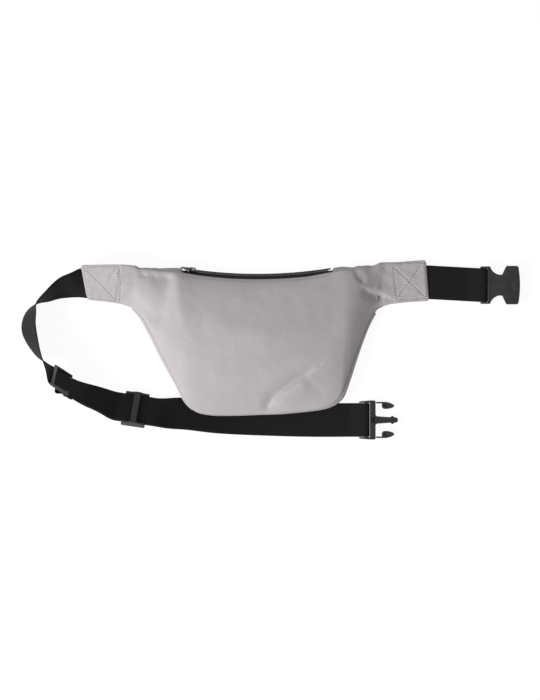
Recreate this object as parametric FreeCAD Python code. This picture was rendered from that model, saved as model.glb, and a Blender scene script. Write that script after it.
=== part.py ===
import FreeCAD, Part
import math
import os
from FreeCAD import Vector, Matrix

os.makedirs("parts", exist_ok=True)

# Waist-worn throw rope bag, lying flat with the body side up.
# Millimetres. X runs along the belt, Y towards the zip, Z up from the surface it lies on.

# Webbing and cloth
webWidth = 38.0
webThick = 1.5
layerGap = 0.3
clothThick = 1.0
clothGap = 0.5
fit = 0.3

# Pouch
seamHeight = 17.0
pouchCrown = 16.0
wingCrown = 0.8
panelChords = 10
rimRun = 32.0
topRun = 12.0
topBow = 0.6
frontTopLift = 1.0
gussetBulge = 3.5
gussetInset = 0.4
trimBelow = 0.5

# Tabs that hold the webbing
rightTabLow = 0.2
leftTabRoll = 26.0
leftTabLift = 3.2

# Zip, set in an arc whose centre lies far beyond the top edge
zipArcX = 4.0
zipTopY = 74.1
zipRadius = 520.0
zipHalfLength = 84.0
zipLean = 20.0
tapeThick = 0.6
tapeWidth = 4.9
toothPitch = 3.0
toothLength = 1.3
toothNeck = 0.9
toothRoot = 0.1
toothStep = 0.2
toothReach = 2.0
toothThick = 1.8
spineWidth = 0.9
rowGap = 0.4
spineGap = 0.1
stopLength = 2.4
stopThick = 1.8
stopGap = 0.8
sliderLength = 9.5
sliderWallThick = 1.0
sliderMargin = 1.3
flangeWidth = 0.8
bridgeWidth = 1.8
bridgeLength = 6.4
bridgeHeight = 2.6
bridgeWall = 0.9
pullLength = 12.5
pullWidth = 4.6
pullThick = 1.1
pullPin = 0.45

# Side-release buckle
barRadius = 1.8
cheekThick = 2.0
femaleBarX = 259.1
femaleY = 67.4
femaleHeight = 11.0
femaleWall = 1.8
rimRound = 1.3
gripRadius = 60.0
gripWidth = 14.0
gripDepth = 0.5
mouthMargin = 2.7
mouthHalf = webWidth / 2 + mouthMargin
neckHalf = 11.65
maleBarX = 126.4
maleHeight = 5.4
plugFront = 10.5
guideHalf = 4.3
guideTipHalf = 3.2
guideHeight = 4.0
grooveLength = 14.0
grooveWidth = 2.6
grooveDepth = 0.8
cheekMargin = 0.3
cheekTail = 8.2
rootFillet = 1.8
webClearance = 0.5
prongReach = 20.3
prongArm = 1.7
prongHeight = 5.4
prongHeadWidth = 7.9
keyHoleLength = 4.8
keyHoleWidth = 6.0
keyHoleFloor = 1.4

# Strap adjusters
railWidth = 2.2
railGap = 0.6
glideBar = 1.8
slideLength = 27.0
slideBarWidth = 6.6
slideRailRise = 0.4
slideRound = 1.6
endLength = 24.0
endPin = 1.2

# Top outline of the back panel outside the zip, as (x, y)
topLeft = [(-194.5, 89.8), (-152.0, 90.3), (-136.0, 89.4), (-120.5, 86.2), (-105.8, 84.6)]
topRight = [(108.0, 86.2), (129.5, 88.7), (142.7, 93.0), (162.5, 94.3), (193.5, 95.5)]

# Bottom outline of the back panel with the height of the front seam, as (x, y, front seam z)
bottomEdge = [
    (-188.0, 51.0, 2.0), (-152.0, 46.5, 2.0), (-137.9, 41.7, 2.2), (-125.9, 30.7, 3.0),
    (-115.8, 13.6, 4.5), (-107.8, -2.4, 6.0), (-97.8, -22.5, 8.5), (-87.6, -42.6, 11.0),
    (-77.2, -63.5, 13.0), (-69.6, -71.5, 13.0), (-58.0, -77.0, 12.5), (-40.0, -79.0, 11.5),
    (-18.0, -78.6, 10.0), (4.0, -77.5, 8.5), (28.0, -76.6, 7.5), (50.0, -74.8, 7.5),
    (70.0, -72.4, 7.5), (86.0, -67.4, 7.5), (97.7, -58.0, 7.5), (106.0, -37.0, 7.0),
    (113.5, -14.0, 6.0), (121.0, 6.0, 5.0), (129.5, 25.4, 3.5), (141.0, 41.5, 2.2),
    (159.2, 46.9, 2.0), (197.0, 49.6, 2.0),
]

# Belt, as (x, y, z) of its lower edge, heading of its width in plan and roll from flat.
# The third group is the stretch through the sewn adjuster, the fourth the sliding one's.
beltStart = [(-152.0, 51.5, 3.2, 93.0, 26.0), (-189.6, 53.3, 3.2, 97.0, 27.5)]
beltLoop = [
    (-197.4, 54.2, 2.4, 104.8, 41.0), (-211.5, 53.8, 1.0, 103.4, 52.0), (-222.8, 52.2, 0.4, 103.7, 64.0),
    (-232.9, 49.5, 0.2, 112.2, 76.0), (-244.4, 47.3, 0.2, 150.0, 90.0), (-254.8, 39.9, 0.9, -9.9, 75.0),
    (-261.7, 25.8, 1.0, 0.0, 65.0), (-261.8, 14.6, 1.0, 2.7, 63.0), (-255.9, 1.1, 1.4, 9.5, 69.0),
    (-248.6, -9.0, 2.6, 7.6, 77.0), (-238.5, -18.0, 6.5, -30.0, 89.0),
]
endZone = [(-226.5, -24.6, 11.6, -108.0, 60.0), (-199.5, -44.6, 5.6, -108.0, 60.0)]
beltMiddle = [(-183.4, -46.4, 5.6, -107.0, 54.0), (-166.0, -49.6, 6.4, -104.0, 47.0)]
slideZone = [(-153.0, -53.6, 7.0, -99.0, 37.0), (-109.0, -60.3, 7.0, -99.0, 37.0)]
beltFlat = [
    (-92.0, -59.8, 6.0, -95.0, 27.0), (-78.8, -59.4, 5.0, -93.7, 22.0), (-50.0, -61.5, 3.4, -92.5, 15.0),
    (-19.1, -63.0, 2.2, -91.5, 7.0), (20.0, -64.4, 2.0, -90.5, 1.0), (60.0, -65.4, 2.0, -90.0, 0.0),
    (108.0, -65.4, 2.0, -90.0, 0.0),
]
maleY = beltFlat[-1][1] - webWidth / 2
spanSteps = 2

# Places of the back panel's sections on the two wings, and how far each tab's end slants
leftWingX = [-188.0, -180.0, -171.0, -162.0, -153.0, -145.0]
rightWingX = [149.0, 158.0, 168.0, 178.0, 188.0, 197.0]
wingEnds = (-140.0, 145.0)
topGussetEnds = (-134.0, 136.0)
topGussetGap = 1.0
leftSlant = -6.5
rightSlant = -3.5


def save(name, shape):
    """Write one sub-part and say how large it is."""
    shape.exportStep("parts/" + name + ".step")
    print(name, len(shape.Solids), round(shape.Volume, 1), shape.isValid())


def between(points, x):
    """Value at x on the broken line through points given as (x, value)."""
    for (x0, v0), (x1, v1) in zip(points, points[1:]):
        if x <= x1:
            return v0 + (v1 - v0) * (x - x0) / (x1 - x0)
    return points[-1][1]


def zipY(x, inward=0.0):
    """Height of the zip's arc in plan, moved towards its centre by inward."""
    radius = zipRadius - inward
    return zipTopY + zipRadius - math.sqrt(radius ** 2 - (x - zipArcX) ** 2)


zipStart = zipArcX - zipHalfLength
zipEnd = zipArcX + zipHalfLength


def topY(x):
    if x < zipStart:
        return between(topLeft + [(zipStart, zipY(zipStart))], x)
    if x > zipEnd:
        return between([(zipEnd, zipY(zipEnd))] + topRight, x)
    return zipY(x)


def bottomY(x):
    return between([(p[0], p[1]) for p in bottomEdge], x)


# Stack of the tabs: facing, webbing, back panel
tabTilt = math.tan(math.radians(leftTabRoll))
rightWebLow = rightTabLow + clothThick + clothGap
rightTabTop = rightWebLow + 2 * webThick + layerGap + clothGap + clothThick
leftTabRise = (webThick + clothGap) / math.cos(math.radians(leftTabRoll)) + clothThick
leftStackY = 52.5


def smooth(start, end, x):
    """0 before start, 1 after end, smooth between them."""
    u = min(1.0, max(0.0, (x - start) / (end - start)))
    return u * u * (3 - 2 * u)


def leftTabZ(y, rise):
    """Height over the rolled left tab at y, rise above the webbing's lower face."""
    return leftTabLift + (max(y, leftStackY - 1.0) - leftStackY) * tabTilt + rise


def backHeight(x, y):
    """Height of the back panel's upper face along its edges."""
    if x < 0:
        share = smooth(-100.0, -150.0, x)
        return seamHeight * (1 - share) + leftTabZ(y, leftTabRise) * share
    share = smooth(100.0, 150.0, x)
    return seamHeight * (1 - share) + rightTabTop * share


def crescent(top, bottom, crown, thick, chords):
    """Closed section of a bowed cloth strip between two edge points."""
    outer = []
    for step in range(chords + 1):
        u = step / chords
        outer.append(top + (bottom - top) * u + Vector(0, 0, 4 * crown * u * (1 - u)))
    inner = [point - Vector(0, 0, thick) for point in reversed(outer)]
    return polygon(outer + inner)


def polygon(points):
    return Part.makePolygon(points + [points[0]])


def makeBackPanel():
    """Body-side cloth with both wings and end tabs, bowed over the pouch."""
    pouch = [p[0] for p in bottomEdge if wingEnds[0] < p[0] < wingEnds[1]]
    sections = []
    for x in leftWingX + pouch + rightWingX:
        xTop = x + leftSlant * smooth(-155.0, bottomEdge[0][0], x)
        xTop += rightSlant * smooth(165.0, bottomEdge[-1][0], x)
        yTop = topY(xTop)
        y = bottomY(x)
        reach = max(0.0, 1 - ((x - zipArcX) / 140.0) ** 2)
        crown = wingCrown + pouchCrown * reach
        top = Vector(xTop, yTop, backHeight(xTop, yTop))
        bottom = Vector(x, y, backHeight(x, y))
        sections.append(crescent(top, bottom, crown, clothThick, panelChords))
    return Part.makeLoft(sections, True, True)


def frontTopY(x):
    """Top edge of the front panel, further out than the back panel's where the zip leans."""
    lean = tapeTotal * math.sin(math.radians(zipLean))
    if abs(x - zipArcX) <= zipHalfLength:
        return zipY(x, lean)
    side = abs(x - zipArcX) - zipHalfLength
    return topY(x) + lean * (1 - smooth(0.0, 45.0, side))


def makeFrontPanel():
    sections = []
    for x, y, seam in bottomEdge:
        if x < -137.0 or x > 140.0:
            continue
        yLow = y + gussetInset + clothThick
        yHigh = frontTopY(x) - clothThick
        run = min(rimRun, 0.55 * (yHigh - yLow))
        floor = -trimBelow
        low = seam - clothThick
        outline = [
            (yLow, low), (yLow + run, floor), (yHigh - topRun, floor), (yHigh, frontTopLift - clothThick / 2),
            (yHigh, frontTopLift + clothThick / 2), (yHigh - topRun, clothThick),
            (yLow + run, clothThick), (yLow, low + clothThick),
        ]
        sections.append(polygon([Vector(x, a, b) for a, b in outline]))
    dish = Part.makeLoft(sections, True, True)
    below = Part.makeBox(600, 400, 50, Vector(-300, -200, -50))
    return dish.cut(below)


def makeGusset():
    """Strip round the sides and bottom, bulging outwards between the two seams."""
    path = [p for p in bottomEdge if -138.0 <= p[0] <= 141.0]
    sections = []
    for i, (x, y, seam) in enumerate(path):
        before = path[max(0, i - 1)]
        after = path[min(len(path) - 1, i + 1)]
        run = Vector(after[0] - before[0], after[1] - before[1], 0)
        out = Vector(run.y, -run.x, 0).normalize()
        high = backHeight(x, y) - clothThick - fit
        low = seam + fit
        middle = (high + low) / 2
        bulge = gussetBulge * min(1.0, (high - low) / 8.0) + 0.4
        edge = Vector(x, y, 0)
        top = edge + Vector(0, 0, high)
        foot = edge + Vector(0, 0, low)
        inward = out * -clothThick
        upperBend = edge + out * bulge + Vector(0, 0, middle + (high - low) / 5)
        lowerBend = edge + out * bulge + Vector(0, 0, middle - (high - low) / 5)
        outside = [top, upperBend, lowerBend, foot]
        inside = [point + inward for point in reversed(outside)]
        sections.append(polygon(outside + inside))
    return Part.makeLoft(sections, True, True)


def makeTopGusset(xs):
    """Upright strip beside the zip, between the top edges of the two panels."""
    sections = []
    for x in xs:
        high = backHeight(x, topY(x)) - clothThick - 2 * fit
        low = frontTopLift + clothThick / 2 + fit
        top = Vector(x, topY(x) - clothThick / 2, high)
        foot = Vector(x, frontTopY(x) - clothThick / 2, low)
        bow = (top + foot) * 0.5 + Vector(0, topBow, 0)
        outside = [top, bow, foot]
        inside = [point - Vector(0, clothThick, 0) for point in reversed(outside)]
        sections.append(polygon(outside + inside))
    return Part.makeLoft(sections, True, True)


def makeLeftFacing():
    """Second cloth layer under the left wing, rolled with the tab."""
    rise = -(clothGap + fit) / math.cos(math.radians(leftTabRoll))
    sections = []
    for x, low in ((-188.0, 52.0), (-152.0, 48.0), (-139.5, 45.5)):
        high = topY(x) - 0.8
        xTop = topLeft[0][0] if x < -160.0 else x
        sections.append(crescent(
            Vector(xTop, high, leftTabZ(high, rise) - 0.2), Vector(x, low, leftTabZ(low, rise) - 0.2),
            0.2, clothThick, 2))
    return Part.makeLoft(sections, True, True)


def makeRightFacing():
    outline = [
        Vector(143.0, 44.5, rightTabLow), Vector(159.2, 48.3, rightTabLow), Vector(196.5, 50.4, rightTabLow),
        Vector(193.3, 94.6, rightTabLow), Vector(162.5, 93.4, rightTabLow), Vector(143.0, 92.0, rightTabLow),
    ]
    return Part.Face(polygon(outline)).extrude(Vector(0, 0, clothThick))


# Zip: sections are drawn across the leaning band, u down the band and v out of the pouch,
# and turned about an upright axis at the centre of its arc
rowSpan = 2 * spineWidth + toothReach + rowGap
tapeTotal = 2 * tapeWidth + rowSpan + 2 * spineGap
zipAxis = Vector(zipArcX, zipTopY + zipRadius, 0)
zipTop = seamHeight - clothThick - fit
leanSin = math.sin(math.radians(zipLean))
leanCos = math.cos(math.radians(zipLean))


def bandPoint(u, v):
    """Point of the zip's cross-section at the middle of the arc."""
    return Vector(zipArcX, zipTopY + clothThick / 2 + u * leanSin + v * leanCos, zipTop - u * leanCos + v * leanSin)


def arcAngle(distance):
    return math.degrees(distance / zipRadius)


def sweepBand(u0, u1, v0, v1, start, end):
    """Rectangle of the band turned along the zip from start to end, measured along the arc."""
    face = Part.Face(polygon([bandPoint(u0, v0), bandPoint(u1, v0), bandPoint(u1, v1), bandPoint(u0, v1)]))
    face.rotate(zipAxis, Vector(0, 0, 1), arcAngle(start))
    return face.revolve(zipAxis, Vector(0, 0, 1), arcAngle(end - start))


def makeToothRow(first, inner, tipSide, shift):
    """Spine along the tape's edge with a comb of teeth that reach into the other row."""
    toothLow = tapeThick / 2 - toothThick / 2
    toothHigh = tapeThick / 2 + toothThick / 2
    row = sweepBand(first, first + spineWidth, toothLow, toothHigh, rowStart, rowEnd)
    root = inner - chainMiddle - tipSide * toothRoot
    tip = inner - chainMiddle + tipSide * toothReach
    neck = toothNeck / 2
    head = toothLength / 2
    outline = [(-neck, root), (neck, root), (head, tip), (-head, tip)]
    teeth = []
    place = rowStart + shift + head
    while place + head <= rowEnd:
        teeth.append(bandSolid(outline, toothLow + toothStep, toothHigh - toothStep, place))
        place += toothPitch
    return row.fuse(teeth).removeSplitter()


sliderHome = -zipHalfLength + sliderLength / 2 + 5.5
rowStart = sliderHome - sliderLength / 2 + 3.4
rowEnd = zipHalfLength - 6.0
chainLow = tapeWidth + spineGap
chainHigh = chainLow + rowSpan
chainMiddle = (chainLow + chainHigh) / 2


def bandSolid(outline, v0, v1, centre):
    """Outline in (along, u) raised from v0 to v1, laid flat on the band at centre along the arc."""
    along = Vector(1, 0, 0)
    base = [bandPoint(chainMiddle + u, v0) + along * s for s, u in outline]
    out = bandPoint(0, v1) - bandPoint(0, v0)
    solid = Part.Face(polygon(base)).extrude(out)
    solid.rotate(zipAxis, Vector(0, 0, 1), arcAngle(centre))
    return solid


def makeSlider():
    halfChain = rowSpan / 2
    side = halfChain + sliderMargin
    tail = side - 0.5
    tapeLow = 0.0
    plateHigh = tapeThick / 2 + toothThick / 2 + fit
    plateLow = tapeThick / 2 - toothThick / 2 - fit
    half = sliderLength / 2
    shield = [
        (-half + 1.2, -side), (-half, -side + 1.6), (-half, side - 1.6), (-half + 1.2, side),
        (half - 1.0, tail), (half, tail - 1.0), (half, 1.0 - tail), (half - 1.0, -tail),
    ]
    plates = bandSolid(shield, plateHigh, plateHigh + sliderWallThick, sliderHome)
    plates = plates.fuse(bandSolid(shield, plateLow - sliderWallThick, plateLow, sliderHome))
    for sign in (-1, 1):
        rail = [
            (-half + 1.2, sign * side), (half - 1.0, sign * tail),
            (half - 1.0, sign * (tail - flangeWidth)), (-half + 1.2, sign * (side - flangeWidth)),
        ]
        plates = plates.fuse(bandSolid(rail, tapeThick + fit, plateHigh, sliderHome))
        plates = plates.fuse(bandSolid(rail, plateLow, tapeLow - fit, sliderHome))
    post = [(-half + 0.3, -0.9), (-half + 1.4, -1.1), (-half + 2.8, 0.0), (-half + 1.4, 1.1), (-half + 0.3, 0.9)]
    plates = plates.fuse(bandSolid(post, plateLow, plateHigh, sliderHome))
    deck = plateHigh + sliderWallThick
    bridge = bandSolid(
        [(-bridgeLength / 2, -bridgeWidth / 2), (bridgeLength / 2, -bridgeWidth / 2),
         (bridgeLength / 2, bridgeWidth / 2), (-bridgeLength / 2, bridgeWidth / 2)],
        deck, deck + bridgeHeight, sliderHome)
    hole = bandSolid(
        [(-bridgeLength / 2 + bridgeWall, -bridgeWidth), (bridgeLength / 2 - bridgeWall, -bridgeWidth),
         (bridgeLength / 2 - bridgeWall, bridgeWidth), (-bridgeLength / 2 + bridgeWall, bridgeWidth)],
        deck, deck + bridgeHeight - bridgeWall, sliderHome)
    return plates.fuse(bridge.cut(hole)).removeSplitter()


def pullAxis():
    """Point of the pull's hinge, under the slider's bridge."""
    deck = tapeThick / 2 + toothThick / 2 + fit + sliderWallThick
    point = bandPoint(chainMiddle, deck + (bridgeHeight - bridgeWall) / 2)
    point = point + Vector(-bridgeLength / 2 + bridgeWall + pullPin + fit, 0, 0)
    return point


def makePull():
    """Flat tab with a window; its end bar is trapped under the slider's bridge."""
    down = Vector(0, leanSin, -leanCos)
    out = Vector(0, leanCos, leanSin)
    along = Vector(1, 0, 0)
    pin = pullAxis()
    half = pullWidth / 2

    def plate(outline, thick):
        base = [pin + along * s + down * u - out * (thick / 2) for s, u in outline]
        return Part.Face(polygon(base)).extrude(out * thick)

    tab = plate([
        (0.4, -half + 0.4), (-2.0, -half), (-pullLength + 1.4, -half * 0.86), (-pullLength, -half * 0.5),
        (-pullLength, half * 0.5), (-pullLength + 1.4, half * 0.86), (-2.0, half), (0.4, half - 0.4),
    ], pullThick)
    slot = bridgeWidth / 2 + fit
    window = plate([(1.0, -slot), (-5.4, -slot), (-5.4, slot), (1.0, slot)], 2 * pullThick)
    bar = Part.makeCylinder(pullPin, pullWidth - 1.4, pin - down * (half - 0.7), down)
    pull = tab.cut(window).fuse(bar).removeSplitter()
    pull.rotate(zipAxis, Vector(0, 0, 1), arcAngle(sliderHome))
    return pull


# Belt
def station(row):
    """Both edges of the webbing at one place along the belt."""
    x, y, z, heading, roll = row
    edge = Vector(x, y, z)
    flat = math.cos(math.radians(roll)) * webWidth
    across = Vector(
        flat * math.cos(math.radians(heading)), flat * math.sin(math.radians(heading)),
        math.sin(math.radians(roll)) * webWidth)
    return edge, edge + across


def faceNormal(low, high, ahead):
    return (high - low).cross(ahead).normalize()


def beltFrames():
    """Edges and normal of the belt, closer together on its curves, and the first doubled place."""
    groups = [beltStart, beltLoop, endZone, beltMiddle, slideZone, beltFlat]
    rows = [station(row) for group in groups for row in group]
    straight = set()
    count = 0
    for group in groups:
        if group in (beltStart, endZone, slideZone):
            straight.add(count)
        if group is endZone:
            doubledFrom = count + 1
        count += len(group)
    low = Part.BSplineCurve()
    low.interpolate([row[0] for row in rows])
    high = Part.BSplineCurve()
    high.interpolate([row[1] for row in rows])
    frames = []
    for i in range(len(rows)):
        if i == doubledFrom:
            firstDoubled = len(frames)
        spans = 1 if i in straight or i == len(rows) - 1 else spanSteps
        a = low.parameter(rows[i][0])
        c = high.parameter(rows[i][1])
        b = low.parameter(rows[i + 1][0]) if i < len(rows) - 1 else a
        d = high.parameter(rows[i + 1][1]) if i < len(rows) - 1 else c
        for k in range(spans):
            u = a + (b - a) * k / spans
            v = c + (d - c) * k / spans
            q, p = low.value(u), high.value(v)
            ahead = low.tangent(u)[0] + high.tangent(v)[0]
            if i in straight:
                ahead = rows[i + 1][0] - rows[i][0]
            if i - 1 in straight and k == 0:
                ahead = rows[i][0] - rows[i - 1][0]
            frames.append((q, p, faceNormal(q, p, ahead)))
    return frames, firstDoubled


def ribbonSection(frame, outer, inner):
    low, high, normal = frame
    return polygon([low + normal * outer, high + normal * outer, high + normal * inner, low + normal * inner])


def turnSection(centre, across, outer, inner, radiusOut, radiusIn):
    """Section of webbing turned round a bar, outer being the direction away from the bar."""
    return polygon([
        centre + outer * radiusOut, centre + across + outer * radiusOut,
        centre + across + inner * radiusIn, centre + inner * radiusIn,
    ])


turnInner = barRadius + fit
turnOuter = turnInner + webThick
maleBarZ = turnOuter + 0.3
femaleBarZ = femaleHeight / 2


def endPlace():
    """Middle of the sewn adjuster on the belt with its own axes."""
    return zonePlace(*station(endZone[0]), *station(endZone[1]))


def zonePlace(q0, p0, q1, p1):
    """Origin on the webbing's lower face and axes: along, across and normal."""
    along = (q1 - q0).normalize()
    across = (p0 - q0).normalize()
    normal = across.cross(along).normalize()
    across = along.cross(normal).normalize()
    origin = (q0 + p0 + q1 + p1) * 0.25
    return origin, along, across, normal


def makeBelt():
    frames, firstDoubled = beltFrames()
    sections = [ribbonSection(frame, webThick, 0.0) for frame in frames]
    # round the plug's bar and back
    across = Vector(0, -webWidth, 0)
    centre = Vector(maleBarX, maleY + webWidth / 2, maleBarZ)
    for degrees in (90, 60, 30, 0, -30, -60, -90):
        outward = Vector(math.cos(math.radians(degrees)), 0, math.sin(math.radians(degrees)))
        sections.append(turnSection(centre, across, outward, outward, turnOuter, turnInner))
    # under layer, back to the sewn adjuster
    place = endPlace()
    for frame in reversed(frames[firstDoubled:]):
        sections.append(ribbonSection(frame, -layerGap - webThick, -layerGap))
    sections.extend(endLoopSections(place))
    return Part.makeLoft(sections, True, True)


def endLoopSections(place):
    """The under layer's end, folded round the adjuster's pin and sewn back on itself."""
    origin, along, across, normal = place
    low = origin - across * (webWidth / 2)
    wide = across * webWidth
    pinDepth = -(layerGap + webThick + fit + endPin)

    def at(s, n):
        return low + along * s + normal * n

    def flat(s, outer, inner):
        return polygon([at(s, outer), at(s, outer) + wide, at(s, inner) + wide, at(s, inner)])

    sections = [flat(3.4, -layerGap - webThick, -layerGap)]
    radiusIn = endPin + fit
    radiusOut = radiusIn + webThick
    for degrees in (90, 130, 180, 230, 270):
        c, s = math.cos(math.radians(degrees)), math.sin(math.radians(degrees))
        inner = (radiusIn * c, pinDepth + radiusIn * s)
        outer = (radiusOut * c, pinDepth + radiusOut * s)
        sections.append(polygon([at(*inner), at(*inner) + wide, at(*outer) + wide, at(*outer)]))
    tail = -layerGap - webThick - 0.2
    sections.append(flat(5.0, tail, tail - webThick))
    sections.append(flat(19.0, tail, tail - webThick))
    return sections


def makeBuckleWebbing():
    """Short strap folded round the socket's bar, both layers sewn into the right tab."""
    x0 = 155.0
    low = rightWebLow
    mid = low + webThick
    high = mid + layerGap
    top = high + webThick
    bar = Vector(femaleBarX, 0, femaleBarZ)
    ramp = 14.0

    def p(x, z):
        return Vector(x, 0, z)

    def ring(radius, degrees):
        return bar + Vector(radius * math.cos(math.radians(degrees)), 0, radius * math.sin(math.radians(degrees)))

    outline = [
        Part.makeLine(p(x0, low), p(femaleBarX - ramp, low)),
        Part.makeLine(p(femaleBarX - ramp, low), ring(turnOuter, -90)),
        Part.Arc(ring(turnOuter, -90), ring(turnOuter, 0), ring(turnOuter, 90)).toShape(),
        Part.makeLine(ring(turnOuter, 90), p(femaleBarX - ramp, top)),
        Part.makeLine(p(femaleBarX - ramp, top), p(x0, top)),
        Part.makeLine(p(x0, top), p(x0, high)),
        Part.makeLine(p(x0, high), p(femaleBarX - ramp, high)),
        Part.makeLine(p(femaleBarX - ramp, high), ring(turnInner, 90)),
        Part.Arc(ring(turnInner, 90), ring(turnInner, 0), ring(turnInner, -90)).toShape(),
        Part.makeLine(ring(turnInner, -90), p(femaleBarX - ramp, mid)),
        Part.makeLine(p(femaleBarX - ramp, mid), p(x0, mid)),
        Part.makeLine(p(x0, mid), p(x0, low)),
    ]
    slab = Part.Face(Part.Wire(outline)).extrude(Vector(0, 200, 0))
    # the strap runs slightly downhill from the tab to the socket
    slope = math.tan(math.radians(3.2))
    yBar = femaleY + webWidth / 2
    yTab = yBar + slope * (femaleBarX - x0)
    edge = [
        Vector(x0 - 1, yTab, -1), Vector(femaleBarX - 4, yBar, -1), Vector(femaleBarX + 8, yBar, -1),
        Vector(femaleBarX + 8, yBar - webWidth, -1), Vector(femaleBarX - 4, yBar - webWidth, -1),
        Vector(x0 - 1, yTab - webWidth, -1),
    ]
    plan = Part.Face(polygon(edge)).extrude(Vector(0, 0, 30))
    return slab.common(plan)


def flatSolid(outline, z0, z1):
    return Part.Face(polygon([Vector(x, y, z0) for x, y in outline])).extrude(Vector(0, 0, z1 - z0))


def mirrored(outline):
    """Outline given for the +y half, closed with its mirror image."""
    return outline + [(x, -y) for x, y in reversed(outline)]


def softened(shape, edges, radius):
    return shape.makeFillet(radius, edges)


def sideProfile(points, halfWidth):
    """Slab cut to an outline in (x, z), curved from point to point, across the whole width."""
    curve = Part.BSplineCurve()
    curve.interpolate([Vector(x, -halfWidth, z) for x, z in points])
    upper = curve.toShape()
    lower = upper.mirror(Vector(0, 0, 0), Vector(0, 0, 1))
    start, end = points[0], points[-1]
    ends = [
        Part.makeLine(Vector(start[0], -halfWidth, -start[1]), Vector(start[0], -halfWidth, start[1])),
        Part.makeLine(Vector(end[0], -halfWidth, end[1]), Vector(end[0], -halfWidth, -end[1])),
    ]
    wire = Part.Wire(Part.__sortEdges__([upper, ends[1], lower, ends[0]]))
    return Part.Face(wire).extrude(Vector(0, 2 * halfWidth, 0))


def roundedBar(x0, x1, halfWidth, half, radius):
    """Bar along x with a rounded rectangular section."""
    box = Part.makeBox(x1 - x0, 2 * halfWidth, 2 * half, Vector(x0, -halfWidth, -half))
    long = [e for e in box.Edges if abs(e.BoundBox.XLength - (x1 - x0)) < 1e-6]
    return softened(box, long, radius)


def makeFemale():
    """Socket: bar, flared shoulders, waisted neck with open sides, and a mouth with a thin wall."""
    half = femaleHeight / 2
    cheekHalf = mouthHalf - 0.6
    inside = cheekHalf - cheekThick
    shoulder = turnOuter + 2.0
    bandStart = 24.4
    bandEnd = 40.2

    def v(x, y):
        return Vector(x, y, -half)

    upper = [
        Part.makeLine(v(-4.5, cheekHalf - 1.2), v(-3.3, cheekHalf)),
        Part.makeLine(v(-3.3, cheekHalf), v(6.6, cheekHalf)),
        Part.Arc(v(6.6, cheekHalf), v(10.8, 14.6), v(17.6, neckHalf)).toShape(),
        Part.makeLine(v(17.6, neckHalf), v(20.8, neckHalf + 0.6)),
        Part.Arc(v(20.8, neckHalf + 0.6), v(22.6, 16.6), v(bandStart + 0.8, mouthHalf)).toShape(),
        Part.makeLine(v(bandStart + 0.8, mouthHalf), v(bandEnd - 3.6, mouthHalf)),
        Part.Arc(v(bandEnd - 3.6, mouthHalf), v(bandEnd - 2.0, mouthHalf - 1.3),
                 v(bandEnd - 1.4, mouthHalf - 3.6)).toShape(),
    ]
    mouth = Part.Arc(v(bandEnd - 1.4, mouthHalf - 3.6), v(bandEnd, 0), v(bandEnd - 1.4, 3.6 - mouthHalf)).toShape()
    lower = [edge.mirror(Vector(0, 0, 0), Vector(0, 1, 0)) for edge in upper]
    back = Part.makeLine(v(-4.5, 1.2 - cheekHalf), v(-4.5, cheekHalf - 1.2))
    outline = Part.Wire(Part.__sortEdges__(upper + [mouth] + lower + [back]))
    body = Part.Face(outline).extrude(Vector(0, 0, femaleHeight))
    body = body.common(sideProfile(
        [(-4.5, 3.2), (4.0, 3.9), (14.0, 4.4), (24.0, half - 0.1), (34.0, half), (bandEnd, half - 0.4)], 30.0))
    body = body.common(roundedBar(-6.0, bandEnd + 2.0, mouthHalf, half, rimRound))
    # room for the webbing round the bar, open at the back
    body = body.cut(Part.makeBox(
        shoulder + 10, 2 * inside, 2 * femaleHeight, Vector(-10, -inside, -femaleHeight)))
    bar = Part.makeCylinder(barRadius, 2 * inside + 1, Vector(0, -inside - 0.5, 0), Vector(0, 1, 0))
    # mouth of the socket, and the channel of the centre guide through the neck
    hollow = mouthHalf - femaleWall
    body = body.cut(roundedBar(bandStart - 3.6, bandEnd + 3.0, hollow, half - femaleWall, 0.8))
    channel = guideHalf + 1.0
    body = body.cut(roundedBar(9.0, bandEnd, channel, guideHeight / 2 + 0.6, 0.6))
    # shallow grip recess on both faces of the mouth
    for z in (half, -half):
        hub = Vector(bandStart + 6.0, -gripWidth / 2, z + math.copysign(gripRadius - gripDepth, z))
        body = body.cut(Part.makeCylinder(gripRadius, gripWidth, hub, Vector(0, 1, 0)))
    socket = body.fuse(bar).removeSplitter()
    socket.translate(Vector(femaleBarX, femaleY, femaleBarZ))
    return socket


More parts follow.
